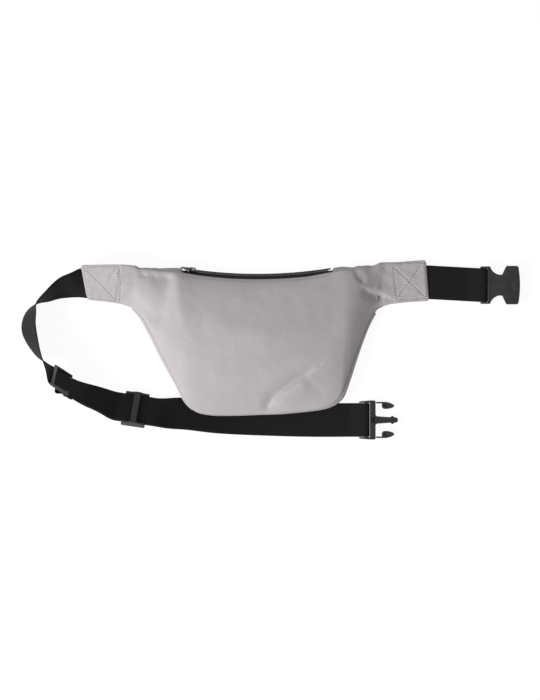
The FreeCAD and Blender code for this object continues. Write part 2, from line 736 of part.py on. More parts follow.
def makeMale():
    """Plug: bar, wedge-shaped cheeks, cross member with a square pocket, and the barbed centre guide."""
    half = maleHeight / 2
    outer = mouthHalf + cheekMargin
    inside = webWidth / 2 + fit
    front = turnOuter + webClearance
    back = plugFront
    cheek = [
        (-cheekTail, inside), (-cheekTail, inside + 1.0), (-cheekTail + 1.2, inside + 1.7),
        (front, outer), (back - 1.0, outer), (back, outer - 1.0),
        (back, guideHalf + rootFillet), (back + rootFillet * 0.3, guideHalf + rootFillet * 0.3),
        (back + rootFillet, guideHalf - 0.1),
    ]
    body = flatSolid(mirrored(cheek), -half, half)
    body = body.common(sideProfile([
        (-cheekTail, half - 1.0), (0.0, half), (front, half), (back + rootFillet, half - 0.5)], 30.0))
    body = body.cut(Part.makeBox(front + 12, 2 * inside, 2 * maleHeight, Vector(-12, -inside, -maleHeight)))
    body = body.cut(Part.makeBox(
        keyHoleLength, keyHoleWidth, 2 * maleHeight,
        Vector(back - keyHoleLength - 0.1, -keyHoleWidth / 2, keyHoleFloor - half)))
    bar = Part.makeCylinder(barRadius, 2 * inside + 1, Vector(0, -inside - 0.5, 0), Vector(0, 1, 0))
    guide = [
        (back - 0.4, guideHalf), (27.0, guideTipHalf), (29.4, guideHalf + 0.6),
        (31.6, guideTipHalf), (34.2, guideTipHalf - 0.4), (35.6, guideTipHalf - 1.6),
    ]
    tongue = flatSolid(mirrored(guide), -guideHeight / 2, guideHeight / 2)
    tongue = tongue.common(sideProfile(
        [(back - 1.0, guideHeight / 2), (25.0, guideHeight / 2), (31.0, 1.8), (35.6, 0.9)], 30.0))
    groove = Part.makeBox(grooveLength, grooveWidth, 1.0,
                          Vector(back + rootFillet, -grooveWidth / 2, guideHeight / 2 - grooveDepth))
    plug = body.fuse([bar, tongue]).cut(groove).removeSplitter()
    plug.translate(Vector(maleBarX, maleY, maleBarZ))
    return plug


prongRootX = maleBarX + plugFront + fit


def makeProng(side):
    """Springy arm with a pointed oval head, on one side of the plug."""
    armIn = prongReach - prongArm
    x0 = prongRootX
    headOut = prongReach + 0.1
    headIn = headOut - prongHeadWidth
    half = prongHeight / 2

    def v(dx, y):
        return Vector(x0 + dx, y, -half)

    edges = [
        Part.Arc(v(0.9, armIn), v(0, (armIn + prongReach) / 2), v(0.9, prongReach)).toShape(),
        Part.makeLine(v(0.9, prongReach), v(8.5, headOut)),
        Part.Arc(v(8.5, headOut), v(14.8, headOut - 0.8), v(18.8, headOut - 2.5)).toShape(),
        Part.Arc(v(18.8, headOut - 2.5), v(20.5, headIn + 3.5), v(18.9, headIn + 1.5)).toShape(),
        Part.Arc(v(18.9, headIn + 1.5), v(14.0, headIn + 0.1), v(8.9, headIn)).toShape(),
        Part.Arc(v(8.9, headIn), v(7.4, headIn + 1.2), v(6.9, armIn - 1.1)).toShape(),
        Part.Arc(v(6.9, armIn - 1.1), v(6.6, armIn - 0.2), v(5.6, armIn)).toShape(),
        Part.makeLine(v(5.6, armIn), v(0.9, armIn)),
    ]
    prong = Part.Face(Part.Wire(edges)).extrude(Vector(0, 0, prongHeight))
    prong = prong.common(roundedBar(x0 - 1.0, x0 + 24.0, headOut, half, 1.2))
    recess = [
        Part.Arc(v(8.6, headOut - 2.4), v(11.4, headOut - 2.2), v(14.4, headOut - 3.6)).toShape(),
        Part.Arc(v(14.4, headOut - 3.6), v(11.6, headIn + 1.6), v(8.6, headOut - 2.4)).toShape(),
    ]
    pocket = Part.Face(Part.Wire(recess)).extrude(Vector(0, 0, 1.6))
    pocket.translate(Vector(0, 0, prongHeight - 1.4))
    prong = prong.cut(pocket)
    if side < 0:
        prong = prong.mirror(Vector(0, 0, 0), Vector(0, 1, 0))
    prong.translate(Vector(0, maleY, maleBarZ))
    return prong


def placed(shape, place):
    """Move a shape drawn as (along, side, normal) onto the belt."""
    origin, along, across, normal = place
    side = normal.cross(along)
    matrix = Matrix(
        along.x, side.x, normal.x, origin.x,
        along.y, side.y, normal.y, origin.y,
        along.z, side.z, normal.z, origin.z,
        0, 0, 0, 1)
    moved = shape.copy()
    moved.Placement = FreeCAD.Placement(matrix)
    return moved


def crossBar(s, low, high, width, span):
    """Bar across the adjuster with rounded long edges."""
    bar = Part.makeBox(width, span, high - low, Vector(s - width / 2, -span / 2, low))
    long = [e for e in bar.Edges if abs(e.BoundBox.YLength - span) < 1e-6]
    return softened(bar, long, 0.42 * min(width, high - low))


def railPair(wire):
    """Two side rails from an outline drawn in (along, normal)."""
    inner = webWidth / 2 + railGap
    face = Part.Face(wire)
    rails = []
    for side in (-1, 1):
        rail = face.copy()
        start = inner if side > 0 else -inner - railWidth
        rail.translate(Vector(0, start, 0))
        rails.append(rail.extrude(Vector(0, railWidth, 0)))
    return rails


def makeSlideGlide(place):
    """Adjuster that keeps both layers together: flat rails, middle bar over, end bars under."""
    half = slideLength / 2
    under = -layerGap - webThick - fit
    over = webThick + fit
    span = webWidth + 2 * railGap + railWidth
    top = over + glideBar
    foot = under - glideBar

    def v(s, n):
        return Vector(s, 0, n)

    shoulder = over + slideRailRise
    round = slideRound
    wire = Part.Wire([
        Part.makeLine(v(-half, foot + round), v(-half, shoulder - round)),
        Part.Arc(v(-half, shoulder - round), v(-half + 0.3 * round, shoulder - 0.3 * round),
                 v(-half + round, shoulder)).toShape(),
        Part.makeLine(v(-half + round, shoulder), v(-slideBarWidth, shoulder)),
        Part.Arc(v(-slideBarWidth, shoulder), v(0, top), v(slideBarWidth, shoulder)).toShape(),
        Part.makeLine(v(slideBarWidth, shoulder), v(half - round, shoulder)),
        Part.Arc(v(half - round, shoulder), v(half - 0.3 * round, shoulder - 0.3 * round),
                 v(half, shoulder - round)).toShape(),
        Part.makeLine(v(half, shoulder - round), v(half, foot + round)),
        Part.Arc(v(half, foot + round), v(half - 0.3 * round, foot + 0.3 * round), v(half - round, foot)).toShape(),
        Part.makeLine(v(half - round, foot), v(round - half, foot)),
        Part.Arc(v(round - half, foot), v(0.3 * round - half, foot + 0.3 * round),
                 v(-half, foot + round)).toShape(),
    ])
    frame = railPair(wire)
    frame.append(crossBar(0, over, top, slideBarWidth, span))
    for side in (-1, 1):
        frame.append(crossBar(side * (half - 2.0), foot, under, 3.6, span))
    glide = frame[0].fuse(frame[1:]).removeSplitter()
    return placed(glide, place)


def makeEndGlide(place):
    """Adjuster sewn to the strap's end: left bar over the strap, pin and right bar under it."""
    half = endLength / 2
    over = webThick + fit
    pinDepth = -(layerGap + webThick + fit + endPin)
    tail = -layerGap - 2 * webThick - 0.2
    under = tail - fit
    span = webWidth + 2 * railGap + railWidth

    def v(s, n):
        return Vector(s, 0, n)

    wire = Part.Wire([
        Part.makeLine(v(-half, over - 1.6), v(-half, over + glideBar - 0.8)),
        Part.makeLine(v(-half, over + glideBar - 0.8), v(-half + 1.0, over + glideBar)),
        Part.makeLine(v(-half + 1.0, over + glideBar), v(-half + 4.4, over + glideBar)),
        Part.makeLine(v(-half + 4.4, over + glideBar), v(half, under + 0.6)),
        Part.makeLine(v(half, under + 0.6), v(half, under - glideBar + 0.8)),
        Part.makeLine(v(half, under - glideBar + 0.8), v(half - 1.0, under - glideBar)),
        Part.makeLine(v(half - 1.0, under - glideBar), v(half - 4.4, under - glideBar)),
        Part.makeLine(v(half - 4.4, under - glideBar), v(-half, over - 1.6)),
    ])
    frame = railPair(wire)
    frame.append(crossBar(1.8 - half, over, over + glideBar, 3.6, span))
    frame.append(crossBar(half - 1.8, under - glideBar, under, 3.6, span))
    frame.append(Part.makeCylinder(endPin, span, v(0, pinDepth) - Vector(0, span / 2, 0), Vector(0, 1, 0)))
    glide = frame[0].fuse(frame[1:]).removeSplitter()
    return placed(glide, place)


save("back_panel", makeBackPanel())
save("front_panel", makeFrontPanel())
save("bottom_gusset", makeGusset())
leftCorners = [p[0] for p in topLeft if topGussetEnds[0] < p[0] < zipStart - topGussetGap]
rightCorners = [p[0] for p in topRight if zipEnd + topGussetGap < p[0] < topGussetEnds[1]]
save("top_gusset_left", makeTopGusset([topGussetEnds[0]] + leftCorners + [zipStart - topGussetGap]))
save("top_gusset_right", makeTopGusset([zipEnd + topGussetGap] + rightCorners + [topGussetEnds[1]]))
save("wing_facing_left", makeLeftFacing())
save("wing_facing_right", makeRightFacing())
tapeEnd = zipHalfLength - 0.6
save("zip_tape_upper", sweepBand(0.0, tapeWidth, 0.0, tapeThick, -tapeEnd, tapeEnd))
save("zip_tape_lower", sweepBand(tapeTotal - tapeWidth, tapeTotal, 0.0, tapeThick, -tapeEnd, tapeEnd))
save("zip_teeth_upper", makeToothRow(chainLow, chainLow + spineWidth, 1, 0.0))
save("zip_teeth_lower", makeToothRow(chainHigh - spineWidth, chainHigh - spineWidth, -1, toothPitch / 2))
stopLow = tapeThick / 2 - stopThick / 2
stopHigh = tapeThick / 2 + stopThick / 2
leftStop = sliderHome - sliderLength / 2 - stopGap
save("zip_stop_left", sweepBand(chainLow, chainHigh, stopLow, stopHigh, leftStop - stopLength, leftStop))
rightStop = rowEnd + rowGap / 2
save("zip_stop_right", sweepBand(
    chainLow, chainHigh, stopLow, stopHigh, rightStop, rightStop + stopLength))
save("zip_slider", makeSlider())
save("zip_pull", makePull())
save("belt_webbing", makeBelt())
save("buckle_webbing", makeBuckleWebbing())
save("end_tri_glide", makeEndGlide(endPlace()))
save("slide_tri_glide", makeSlideGlide(zonePlace(*station(slideZone[0]), *station(slideZone[1]))))
save("buckle_socket", makeFemale())
save("buckle_plug", makeMale())
save("plug_prong_upper", makeProng(1))
save("plug_prong_lower", makeProng(-1))
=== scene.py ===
import math
import bpy
import numpy as np
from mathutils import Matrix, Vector, noise
from mathutils.bvhtree import BVHTree


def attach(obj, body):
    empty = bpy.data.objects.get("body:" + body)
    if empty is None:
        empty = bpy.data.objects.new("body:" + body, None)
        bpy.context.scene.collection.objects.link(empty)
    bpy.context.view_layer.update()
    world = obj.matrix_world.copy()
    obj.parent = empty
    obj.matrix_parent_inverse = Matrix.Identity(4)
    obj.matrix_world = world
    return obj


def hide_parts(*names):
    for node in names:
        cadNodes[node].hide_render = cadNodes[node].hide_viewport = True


# Waist-worn throw rope bag, lying on a table with its body side up.
# Lengths are in millimetres until a mesh is made, and in metres in Blender.
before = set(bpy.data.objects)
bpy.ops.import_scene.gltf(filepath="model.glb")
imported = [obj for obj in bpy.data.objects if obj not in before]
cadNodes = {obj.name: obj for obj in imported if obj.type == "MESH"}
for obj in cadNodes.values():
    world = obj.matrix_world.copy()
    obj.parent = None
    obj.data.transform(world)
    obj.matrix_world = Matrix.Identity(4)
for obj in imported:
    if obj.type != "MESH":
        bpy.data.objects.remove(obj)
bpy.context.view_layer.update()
mm = 0.001


# Small tools for lines and meshes

def smoothStep(start, end, x):
    u = np.clip((x - start) / (end - start), 0.0, 1.0)
    return u * u * (3 - 2 * u)


def curveThrough(points, x):
    # smooth line through (x, value) points that never swings past them
    px = np.array([p[0] for p in points], float)
    py = np.array([p[1] for p in points], float)
    gap = np.diff(px)
    rise = np.diff(py) / gap
    slope = np.zeros_like(py)
    slope[0], slope[-1] = rise[0], rise[-1]
    for i in range(1, len(px) - 1):
        if rise[i - 1] * rise[i] > 0:
            slope[i] = 2 / (1 / rise[i - 1] + 1 / rise[i])
    x = np.clip(x, px[0], px[-1])
    i = np.clip(np.searchsorted(px, x) - 1, 0, len(gap) - 1)
    t = (x - px[i]) / gap[i]
    return ((2 * t ** 3 - 3 * t ** 2 + 1) * py[i] + (t ** 3 - 2 * t ** 2 + t) * gap[i] * slope[i]
            + (3 * t ** 2 - 2 * t ** 3) * py[i + 1] + (t ** 3 - t ** 2) * gap[i] * slope[i + 1])


def cubicThrough(rows, step):
    # evenly spaced rows on the natural cubic through all rows
    rows = np.array(rows, float)
    half = rows.shape[1] // 2
    middle = (rows[:, :half] + rows[:, half:]) / 2
    place = np.concatenate([[0], np.cumsum(np.linalg.norm(np.diff(middle, axis=0), axis=1))])
    gap = np.diff(place)
    count = len(place)
    matrix = np.zeros((count, count))
    right = np.zeros_like(rows)
    matrix[0, 0] = matrix[-1, -1] = 1.0
    for i in range(1, count - 1):
        matrix[i, i - 1] = gap[i - 1]
        matrix[i, i] = 2 * (gap[i - 1] + gap[i])
        matrix[i, i + 1] = gap[i]
        right[i] = 6 * ((rows[i + 1] - rows[i]) / gap[i] - (rows[i] - rows[i - 1]) / gap[i - 1])
    bend = np.linalg.solve(matrix, right)
    wanted = np.linspace(0, place[-1], max(2, int(place[-1] / step) + 1))
    i = np.clip(np.searchsorted(place, wanted) - 1, 0, count - 2)
    a = ((place[i + 1] - wanted) / gap[i])[:, None]
    b = 1 - a
    g = gap[i][:, None]
    return a * rows[i] + b * rows[i + 1] + ((a ** 3 - a) * bend[i] + (b ** 3 - b) * bend[i + 1]) * g * g / 6


def addMesh(name, points, faces, smooth=True):
    mesh = bpy.data.meshes.new(name)
    mesh.from_pydata([tuple(p * mm) for p in np.asarray(points, float)], [], faces)
    mesh.validate()
    mesh.update()
    piece = bpy.data.objects.new(name, mesh)
    bpy.context.scene.collection.objects.link(piece)
    if smooth:
        mesh.polygons.foreach_set("use_smooth", [True] * len(mesh.polygons))
    return piece


def gridFaces(rows, cols, closedCols=False):
    faces = []
    last = cols if closedCols else cols - 1
    for i in range(rows - 1):
        for j in range(last):
            k = (j + 1) % cols
            faces.append((i * cols + j, i * cols + k, (i + 1) * cols + k, (i + 1) * cols + j))
    return faces


def tubeFaces(base, rings, sides):
    # faces between rings of points that follow each other, with both ends closed
    faces = []
    for r in range(rings - 1):
        low, high = base + r * sides, base + (r + 1) * sides
        for k in range(sides):
            j = (k + 1) % sides
            faces.append((low + k, low + j, high + j, high + k))
    last = base + (rings - 1) * sides
    faces.append(tuple(range(base, base + sides))[::-1])
    faces.append(tuple(range(last, last + sides)))
    return faces


def giveThickness(piece, thick, offset):
    solidify = piece.modifiers.new("thickness", "SOLIDIFY")
    solidify.thickness = thick * mm
    solidify.offset = offset


def setCoord(piece, values):
    # place of each point on the flat cloth, in millimetres, for the weave
    attribute = piece.data.attributes.new("clothCoord", "FLOAT_VECTOR", "POINT")
    attribute.data.foreach_set("vector", np.asarray(values, np.float32).ravel())


def addSheet(name, grid, coord, thick, upward=False):
    # cloth from a grid of points with its thickness below the grid, or above it
    rows, cols, _ = grid.shape
    piece = addMesh(name, grid.reshape(-1, 3), gridFaces(rows, cols))
    setCoord(piece, coord.reshape(-1, 3))
    if piece.data.polygons[0].normal.z < 0:
        piece.data.flip_normals()
    giveThickness(piece, thick, 1.0 if upward else -1.0)
    return piece


def rippleAt(x, y, size, seed):
    flat = [noise.noise(Vector((a / size, b / size, seed))) for a, b in zip(x.ravel(), y.ravel())]
    return np.array(flat).reshape(x.shape)


def rippleSum(x, y, parts):
    # parts as size, seed and share
    return sum(share * rippleAt(x, y, size, seed) for size, seed, share in parts)


def alongPath(x, y, path):
    # distance from a broken line, which side of it, and how far along it from 0 to 1
    best = np.full(x.shape, 1e9)
    side = np.zeros(x.shape)
    share = np.zeros(x.shape)
    lengths = [math.dist(a, b) for a, b in zip(path, path[1:])]
    total = sum(lengths)
    done = 0.0
    for (ax, ay), (bx, by), length in zip(path, path[1:], lengths):
        dx, dy = (bx - ax) / length, (by - ay) / length
        t = np.clip((x - ax) * dx + (y - ay) * dy, 0, length)
        away = np.hypot(x - ax - t * dx, y - ay - t * dy)
        turn = np.sign(dx * (y - ay) - dy * (x - ax))
        near = away < best
        best = np.where(near, away, best)
        side = np.where(near, turn, side)
        share = np.where(near, (done + t) / total, share)
        done += length
    return best, side, share


# Outlines of the bag, in millimetres

bagShape = {
    "seamHeight": 17.0,
    "pouchCrown": 16.0,
    "wingCrown": 0.8,
    "clothThick": 0.9,
    "zipMiddle": 4.0,
    "zipTopY": 74.1,
    "zipRadius": 520.0,
    "zipHalf": 84.0,
    "zipLean": 20.0,
    "tabRoll": 26.0,
    "tabLift": 3.2,
    "tabRise": 3.225,
    "rightTabTop": 6.5,
    "tabHinge": 52.5,
    "tabLowest": 51.5,
    "wingStart": 100.0,
    "wingEnd": 150.0,
}
topLeft = [
    (-194.5, 89.8), (-152, 90.4), (-137, 89.6), (-126, 86.0), (-119, 86.1), (-105.8, 84.3), (-80, 81.1),
]
topRight = [
    (88, 81.1), (100.6, 84), (110.3, 84.9), (117.6, 87.4), (124.9, 88.6), (132.3, 88.5), (137.1, 90.4),
    (142.6, 93), (155.5, 93.2), (173.7, 94.3), (193.5, 95.8),
]
bottomEdge = [
    (-188, 51, 2), (-152, 46.5, 2), (-137.9, 41.7, 2.2), (-125.9, 30.7, 3), (-115.8, 13.6, 4.5),
    (-107.8, -2.4, 6), (-97.8, -22.5, 8.5), (-87.6, -42.6, 11), (-77.2, -63.5, 13), (-69.6, -71.5, 13),
    (-58, -77, 12.5), (-40, -79, 11.5), (-18, -78.6, 10), (4, -77.5, 8.5), (28, -76.6, 7.5),
    (50, -74.8, 7.5), (70, -72.4, 7.5), (86, -67.4, 7.5), (97.7, -58, 7.5), (106, -37, 7),
    (113.5, -14, 6), (121, 6, 5), (129.5, 25.4, 3.5), (141, 41.5, 2.2), (159.2, 46.9, 2), (197, 49.6, 2),
]


def zipY(x, inward=0.0):
    radius = bagShape["zipRadius"] - inward
    reach = np.clip(x - bagShape["zipMiddle"], -radius + 1, radius - 1)
    return bagShape["zipTopY"] + bagShape["zipRadius"] - np.sqrt(radius ** 2 - reach ** 2)


def topY(x):
    side = np.where(x < 0, curveThrough(topLeft, x), curveThrough(topRight, x))
    return np.where(np.abs(x - bagShape["zipMiddle"]) < bagShape["zipHalf"], zipY(x), side)


def bottomY(x):
    return curveThrough([p[:2] for p in bottomEdge], x)


def frontSeam(x):
    return curveThrough([(p[0], p[2]) for p in bottomEdge], x)


def leftTabZ(y, rise):
    slope = math.tan(math.radians(bagShape["tabRoll"]))
    return bagShape["tabLift"] + (np.maximum(y, bagShape["tabLowest"]) - bagShape["tabHinge"]) * slope + rise


def backHeight(x, y):
    start, end = bagShape["wingStart"], bagShape["wingEnd"]
    left = smoothStep(-start, -end, x)
    right = smoothStep(start, end, x)
    return (bagShape["seamHeight"] * (1 - left - right) + leftTabZ(y, bagShape["tabRise"]) * left
            + bagShape["rightTabTop"] * right)


# Back panel: the pale cloth that lies against the body, with both wings and tabs

backPanel = {
    "tabStep": 0.85,
    "pouchStep": 1.6,
    "rows": 176,
    "edgeRoll": 1.1,
    "ripple": 0.32,
    "leftSlant": -6.5,
    "rightSlant": -3.5,
    "crownPeak": 0.44,
    "crownHalf": 140.0,
    "zipCover": 1.2,
    "corner": 3.2,
    "seamDepth": 1.3,
    "tabStart": 145.0,
    "tabRipple": 0.35,
    "edgeEase": 9.0,
    "hemInset": 2.6,
    "hemDepth": 0.35,
    "rimHeight": 0.2,
    "rimInset": 1.0,
    "lineWidth": 0.8,
    "seamInset": 0.7,
    "edgeWidth": 0.9,
    "leftCover": 0.25,
    "coverDepth": 0.12,
    "ripples": [(24.0, 3.1, 1.0), (11.0, 7.7, 0.5), (5.0, 1.9, 0.25)],
    "tabRipples": [(6.5, 12.3, 1.0)],
}

# Where features of the back panel fade in, as start and end in x, or in distance from the zip's middle
panelFades = {
    "leftSlant": (-155.0, bottomEdge[0][0]), "rightSlant": (165.0, bottomEdge[-1][0]),
    "coverIn": (52.0, 86.0), "coverOut": (118.0, 90.0), "leftTab": (-138.0, -150.0),
    "rightTab": (143.0, 154.0), "hem": (86.0, 78.0), "rim": (145.0, 135.0),
    "seamIn": (88.0, 104.0), "seamOut": (152.0, 143.0),
}

# Folds as (path in x, y), width on its right, width on its left, height on the path
folds = [
    ([(-96, 94), (-98, 74), (-101, 54), (-106, 34), (-113, 12)], 27.0, 8.0, -4.6),
    ([(-86, 90), (-85, 62), (-82, 40), (-74, 16)], 7.0, 15.0, 1.8),
    ([(-126, 92), (-125.5, 83), (-121, 74)], 4.0, 2.0, -1.1),
    ([(-112, 90), (-109, 82), (-104, 72)], 3.0, 6.0, 0.7),
    ([(-150, 70), (-136, 62), (-122, 50)], 8.0, 8.0, 0.8),
    ([(112, 92), (113.2, 83), (116, 76), (121, 70.5), (128, 68)], 1.5, 8.0, -1.7),
    ([(121, 66), (128, 59.5), (137, 55.5), (151, 52)], 7.0, 2.0, -2.5),
    ([(132, 66.5), (143, 60.5), (160, 53)], 2.4, 8.0, 1.4),
    ([(126, 94), (127.5, 86), (133, 78)], 2.6, 5.0, -0.6),
    ([(139, 96), (141, 88), (147, 78)], 5.0, 3.0, 0.7),
    ([(74, -22), (58.5, -33.8), (45, -41.5), (32, -50), (22, -58), (16, -67), (14.5, -84)], 7.0, 2.6, -2.9),
    ([(66, -38), (53, -47), (41, -56), (31, -66), (25, -80)], 6.5, 15.0, 1.9),
    ([(-66, 25), (-30, 20), (8, 15), (40, 12)], 18.0, 14.0, 1.3),
    ([(92, -40), (99, -8), (107, 20)], 12.0, 8.0, -0.4),
    ([(-96, -14), (-70, -30), (-40, -40)], 14.0, 12.0, -0.5),
    ([(-20, 60), (14, 52), (60, 56)], 16.0, 12.0, -0.7),
]


foldEnds = {"start": 0.25, "end": 0.3, "least": 0.2}


def foldHeight(x, y):
    height = np.zeros(x.shape)
    for path, rightWidth, leftWidth, rise in folds:
        away, side, share = alongPath(x, y, path)
        width = np.where(side > 0, leftWidth, rightWidth)
        fade = smoothStep(0.0, foldEnds["start"], share) * smoothStep(0.0, foldEnds["end"], 1 - share)
        fade = np.maximum(fade, foldEnds["least"])
        height += rise * np.exp(-(away / width) ** 2) * fade
    return height


# Stitch lines on the tabs, as corners in x, y
tabSeams = {
    "left": [
        [(-190.4, 87.2), (-172, 88.1), (-151.0, 88.2)], [(-190.9, 86.0), (-186.2, 53.0)],
        [(-185.0, 52.6), (-155.4, 49.2)], [(-151.5, 87.3), (-152.6, 68), (-155.0, 49.6)],
        [(-150.6, 87.8), (-150.2, 66), (-151.2, 49.2)], [(-190.6, 86.4), (-170, 66), (-154.6, 49.8)],
    ],
    "right": [
        [(157.0, 91.4), (172, 92.6), (191.6, 93.4)], [(161.2, 50.8), (178, 51.6), (195.0, 52.6)],
        [(192.2, 93.0), (195.6, 53.0)], [(156.7, 89.0), (158.4, 70), (160.9, 51.8)],
        [(157.3, 87.8), (176, 70.6), (193.6, 53.2)],
    ],
    "faint": [[(-154.4, 86.8), (-162, 76)], [(189.6, 92.4), (176, 72), (162, 53)]],
}


stitchGroove = {
    "depth": 0.3, "width": 0.9, "ridge": 0.1, "ridgeAway": 2.2, "ridgeWidth": 1.2, "pucker": 0.14,
    "puckerWidth": 3.2, "deepest": -0.55,
}


def seamGroove(x, y):
    values = stitchGroove
    depth = np.zeros(x.shape)
    for lines in tabSeams.values():
        for line in lines:
            away, _, _ = alongPath(x, y, line)
            depth -= values["depth"] * np.exp(-(away / values["width"]) ** 2)
            ridge = np.exp(-((away - values["ridgeAway"]) / values["ridgeWidth"]) ** 2)
            depth += values["ridge"] * ridge
            # small puckers where the thread draws the cloth in
            drawn = np.sin((x + y) * 1.25) * np.sin((x - 0.6 * y) * 0.83)
            depth += values["pucker"] * drawn * np.exp(-(away / values["puckerWidth"]) ** 2)
    return np.maximum(depth, values["deepest"])


def faded(name, x):
    return smoothStep(*panelFades[name], x)


def panelGrid():
    values = backPanel
    x0, x1 = bottomEdge[0][0], bottomEdge[-1][0]
    tab = values["tabStart"]
    xs = np.concatenate([
        np.arange(x0, -tab, values["tabStep"]), np.arange(-tab, tab, values["pouchStep"]),
        np.arange(tab, x1, values["tabStep"]), [x1],
    ])
    s = np.linspace(0, 1, values["rows"])
    t = 0.7 * s + 0.3 * (0.5 - 0.5 * np.cos(math.pi * s))
    slant = values["leftSlant"] * faded("leftSlant", xs) + values["rightSlant"] * faded("rightSlant", xs)
    xTop = xs + slant
    # the cloth is drawn over both ends of the zip
    zipSide = np.abs(xTop - bagShape["zipMiddle"])
    cover = values["zipCover"] * faded("coverIn", zipSide) * faded("coverOut", zipSide)
    cover = np.where(xTop < 0, cover * values["leftCover"], cover)
    yTop = topY(xTop)
    yBottom = bottomY(xs)
    x = xTop[:, None] + (xs - xTop)[:, None] * t[None, :]
    y = yTop[:, None] + (yBottom - yTop)[:, None] * t[None, :]
    reach = np.maximum(0.0, 1 - ((xs - bagShape["zipMiddle"]) / values["crownHalf"]) ** 2)
    crown = bagShape["wingCrown"] + bagShape["pouchCrown"] * reach
    zTop = backHeight(xTop, yTop)
    zBottom = backHeight(xs, yBottom)
    peak = values["crownPeak"]
    warped = t ** (math.log(0.5) / math.log(peak))
    bow = 4 * warped * (1 - warped)
    z = zTop[:, None] + (zBottom - zTop)[:, None] * t[None, :] + crown[:, None] * bow[None, :]
    # distance from the nearest edge, square to it
    slopeDown = np.gradient(yBottom, xs)
    slopeUp = np.gradient(yTop, xTop)
    fromBottom = (y - yBottom[:, None]) / np.sqrt(1 + slopeDown[:, None] ** 2)
    fromTop = (yTop[:, None] - y) / np.sqrt(1 + slopeUp[:, None] ** 2)
    fromEnd = np.minimum(x - x[0:1, :], x[-1:, :] - x)
    edge = np.minimum(np.minimum(fromBottom, fromTop), fromEnd)
    inside = smoothStep(0.0, values["edgeEase"], edge)
    z = z + foldHeight(x, y) * (0.35 + 0.65 * inside)
    z = z + values["ripple"] * rippleSum(x, y, values["ripples"]) * (0.3 + 0.7 * inside)
    tabs = faded("leftTab", x) + faded("rightTab", x)
    z = z + values["tabRipple"] * rippleSum(x, y, values["tabRipples"]) * tabs
    z = z + seamGroove(x, y)
    z = z - values["edgeRoll"] * np.exp(-edge / values["edgeWidth"])
    # the turned hem under the zip, with its row of stitches
    hem = faded("hem", np.abs(x - bagShape["zipMiddle"]))
    line = np.exp(-((fromTop - values["hemInset"]) / values["lineWidth"]) ** 2)
    z = z - values["hemDepth"] * hem * line
    # the edge along the sides has a narrow rolled rim
    rim = faded("rim", np.abs(x))
    line = np.exp(-((fromBottom - values["rimInset"]) / values["lineWidth"]) ** 2)
    z = z + values["rimHeight"] * rim * line
    # on the right the seam to the gusset is drawn in deep
    seam = faded("seamIn", xs) * faded("seamOut", xs)
    line = np.exp(-((fromBottom - values["seamInset"]) / values["seamInset"]) ** 2)
    z = z - values["seamDepth"] * seam[:, None] * line
    # rounded corners of the tabs
    radius = values["corner"]
    fromSide = np.minimum(np.abs(xs - xs[0]), np.abs(xs - xs[-1]))
    lack = np.clip(1 - fromSide / radius, 0.0, 1.0)
    drop = radius * (1 - np.sqrt(1 - lack ** 2))[:, None]
    depthTop = (yTop[:, None] - y) / radius
    depthLow = (y - yBottom[:, None]) / radius
    y = y - drop * np.clip(1 - depthTop / 2, 0.0, 1.0) + drop * np.clip(1 - depthLow / 2, 0.0, 1.0)
    y = y + cover[:, None] * smoothStep(values["coverDepth"], 0.0, t)[None, :]
    return np.stack([x, y, z], axis=-1)


panelPoints = panelGrid()
backPanelCloth = addSheet("backPanelCloth", panelPoints, panelPoints, bagShape["clothThick"])
panelTree = BVHTree.FromPolygons(
    [tuple(p) for p in panelPoints.reshape(-1, 3)], gridFaces(*panelPoints.shape[:2]))
print("back panel made")


def panelZ(x, y):
    hit = panelTree.ray_cast(Vector((x, y, 200.0)), Vector((0, 0, -1)))
    return hit[0].z if hit[0] is not None else None


# Gusset and front panel

gusset = {
    "bulge": 3.2, "leastBulge": 1.7, "tucked": 0.45, "rows": 15, "step": 2.0, "startX": -136.5, "endX": 136.0,
    "topDrop": 1.15, "lowLift": 0.2, "fullHeight": 8.0, "gather": 0.07, "gatherRate": 0.85,
    "seamInset": 0.25, "clothWidth": 14,
}
zipFall = {"width": 15.3, "fade": 45.0}


def frontTopY(x):
    # the zip leans outward on its way down to the front panel
    lean = zipFall["width"] * math.sin(math.radians(bagShape["zipLean"]))
    side = np.abs(x - bagShape["zipMiddle"]) - bagShape["zipHalf"]
    return np.where(side <= 0, zipY(x, lean), topY(x) + lean * (1 - smoothStep(0.0, zipFall["fade"], side)))


